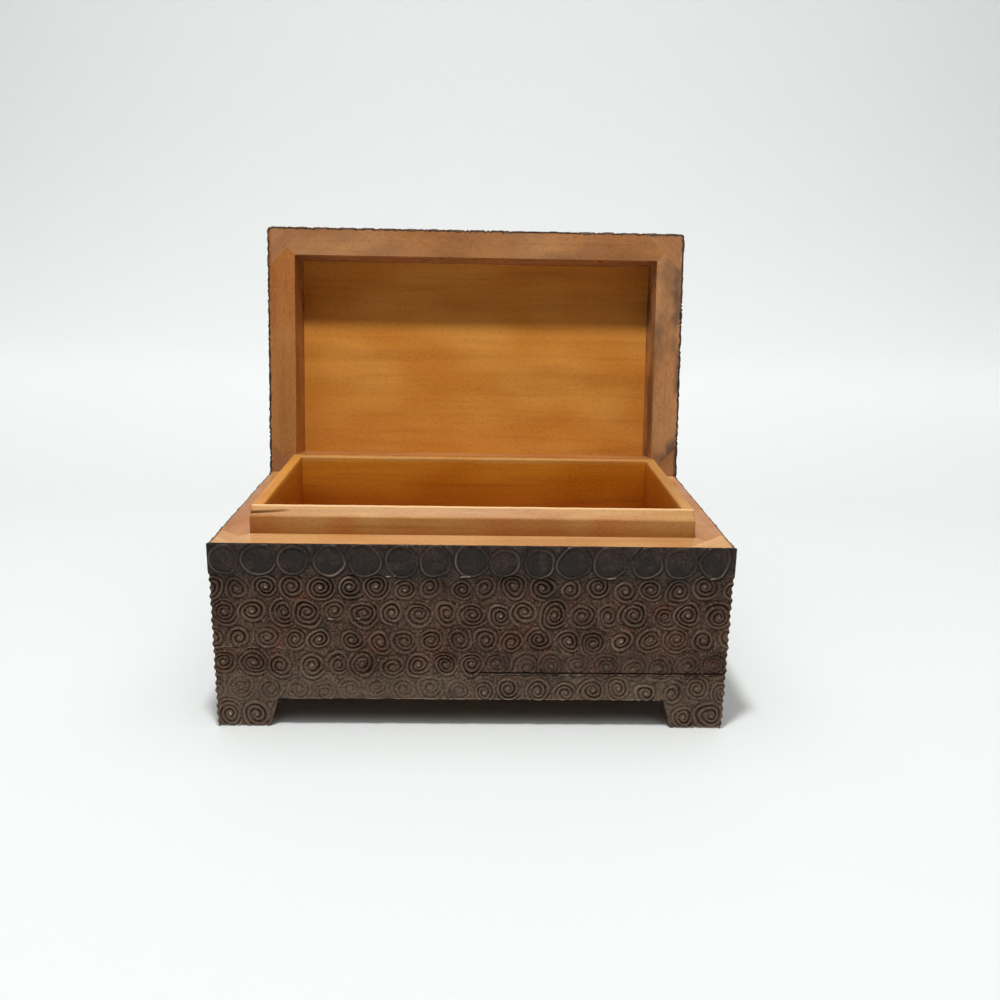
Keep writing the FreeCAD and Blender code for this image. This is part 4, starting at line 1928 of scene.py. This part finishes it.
@dataclass
class Studio:
    """A pale sweep, soft light from above and the camera."""

    eye: Vector = field(default_factory=lambda: Vector((0.07, -364.7, 166.7)) * MM)
    yaw: float = math.radians(1.572)
    pitch: float = math.radians(15.0)
    roll: float = math.radians(-1.064)
    lens: float = 35.01
    sensor: float = 36.0
    floor_size: float = 3.0
    bend: float = 0.7
    bend_steps: int = 24
    wall_place: float = 1.1
    lamp_place: Vector = field(default_factory=lambda: Vector((-30, -178, 594)) * MM)
    lamp_radius: float = 30 * MM
    lamp_power: float = 9.2
    wall_lamp_place: Vector = field(default_factory=lambda: Vector((0, 450, 1000)) * MM)
    wall_lamp_aim: Vector = field(default_factory=lambda: Vector((0, 1, -0.2)))
    wall_lamp_size: tuple[float, float] = (2.6, 0.4)
    wall_lamp_power: float = 10.5
    sky: Colour = srgb(253, 254, 253)
    sky_above: float = 1.55
    sky_level: float = 0.05
    sky_edge: tuple[float, float] = (0.58, 0.92)

    def build(self) -> None:
        """Sets out the sweep, the lights and the camera."""
        self.floor()
        self.lamps()
        self.surroundings()
        self.camera()
        view = bpy.context.scene.view_settings
        view.view_transform = "Standard"
        view.look = "None"

    def add(self, name: str, data: bpy.types.ID) -> bpy.types.Object:
        """Puts a mesh, a lamp or a camera into the scene.

        Args:
            name: the object's name.
            data: what it holds.
        Returns:
            The object.
        """
        thing = bpy.data.objects.new(name, data)
        bpy.context.scene.collection.objects.link(thing)
        return thing

    def floor(self) -> None:
        """Lays a floor that bends up into a wall behind the box."""
        bm = bmesh.new()
        near = [bm.verts.new((x, -self.floor_size, 0)) for x in (-self.floor_size, self.floor_size)]
        far = grow(bm, [bm.edges.new(near)])
        bmesh.ops.translate(bm, verts=far, vec=(0, self.floor_size + self.wall_place, 0))
        spun = bmesh.ops.spin(
            bm,
            geom=[bm.edges.get(far)],
            cent=(0, self.wall_place, self.bend),
            axis=(1, 0, 0),
            angle=math.pi / 2,
            steps=self.bend_steps,
        )["geom_last"]
        high = grow(bm, [g for g in spun if isinstance(g, bmesh.types.BMEdge)])
        bmesh.ops.translate(bm, verts=high, vec=(0, 0, self.floor_size))
        bmesh.ops.recalc_face_normals(bm, faces=bm.faces)
        for face in bm.faces:
            face.smooth = True
        mesh = bpy.data.meshes.new("sweep_mesh")
        bm.to_mesh(mesh)
        bm.free()
        mesh.materials.append(PaleFloor().material("pale_sweep"))
        self.add("sweep", mesh)

    def lamps(self) -> None:
        """Hangs a small lamp high in front of the box, and a long one that lights the wall."""
        lamp = bpy.data.lights.new("lamp", "POINT")
        lamp.energy = self.lamp_power
        lamp.shadow_soft_size = self.lamp_radius
        self.add("lamp", lamp).location = self.lamp_place
        wash = bpy.data.lights.new("wall_lamp", "AREA")
        wash.shape = "RECTANGLE"
        wash.size, wash.size_y = self.wall_lamp_size
        wash.energy = self.wall_lamp_power
        holder = self.add("wall_lamp", wash)
        holder.location = self.wall_lamp_place
        holder.rotation_euler = self.wall_lamp_aim.to_track_quat("-Z", "Y").to_euler()

    def surroundings(self) -> None:
        """Makes a sky that is bright overhead and dim towards the sides."""
        world = bpy.data.worlds.new("surroundings")
        world.use_nodes = True
        nodes, links = world.node_tree.nodes, world.node_tree.links
        background = nodes["Background"]
        background.inputs["Color"].default_value = self.sky
        parts = nodes.new("ShaderNodeSeparateXYZ")
        links.new(nodes.new("ShaderNodeTexCoord").outputs["Generated"], parts.inputs[0])
        rise = nodes.new("ShaderNodeMapRange")
        rise.interpolation_type = "SMOOTHSTEP"
        ends = (*self.sky_edge, self.sky_level, self.sky_above)
        for name, value in zip(("From Min", "From Max", "To Min", "To Max"), ends):
            rise.inputs[name].default_value = value
        links.new(parts.outputs["Z"], rise.inputs["Value"])
        links.new(rise.outputs[0], background.inputs["Strength"])
        bpy.context.scene.world = world

    def camera(self) -> None:
        """Sets the camera where the photograph was taken from."""
        level_ahead = Vector((math.sin(self.yaw), math.cos(self.yaw), 0))
        ahead = math.cos(self.pitch) * level_ahead - Vector((0, 0, math.sin(self.pitch)))
        right = Vector((math.cos(self.yaw), -math.sin(self.yaw), 0))
        down = ahead.cross(right)
        level = math.cos(self.roll) * right + math.sin(self.roll) * down
        lower = math.cos(self.roll) * down - math.sin(self.roll) * right
        camera = bpy.data.cameras.new("camera")
        camera.lens = self.lens
        camera.sensor_width = self.sensor
        holder = self.add("camera", camera)
        axes = Matrix((level, -lower, -ahead)).transposed()
        holder.matrix_world = Matrix.Translation(self.eye) @ axes.to_4x4()
        bpy.context.scene.camera = holder


def main() -> None:
    """Builds the box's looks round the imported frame, piece by piece."""
    logging.basicConfig(level=logging.INFO, format="%(name)s: %(message)s")
    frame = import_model()
    sizes = BoxSizes.from_frame(frame)
    carver = BoardCarver(sizes)
    woods = Woods()
    plinth_stain = StainedCarving(woods.rim, ground=srgb(90, 71, 57), brown=srgb(103, 84, 69))
    rails = {
        side: StainedCarving(wood).material("carved_lid_" + side.value)
        for side, wood in woods.lid_rails().items()
    }
    BaseCase(
        frame,
        sizes,
        carver,
        StainedCarving(woods.rim).material("carved_base"),
        StainedCarving(woods.side_rim).material("carved_base_side"),
        plinth_stain.material("carved_plinth"),
    ).build()
    CornerKeys(frame, carver, "base", Matrix.Identity(4), woods.base_key.material("base_key_wood")).build()
    Lining(
        frame,
        sizes,
        EdgedWood(woods.lip, woods.lip_edge).material("lip_wood"),
        EdgedWood(woods.lining, woods.lip_edge).material("lining_wood"),
        woods.bottom.material("bottom_wood"),
    ).build()
    Lid(frame, sizes, carver, rails, StainedCarving(woods.lid_top).material("carved_lid_top")).build()
    CornerKeys(frame, carver, "lid", sizes.closing, woods.lid_key.material("key_wood")).build()
    Hinges(frame, AgedBrass().material("aged_brass")).build()
    Studio().build()


if __name__ == "__main__":
    main()
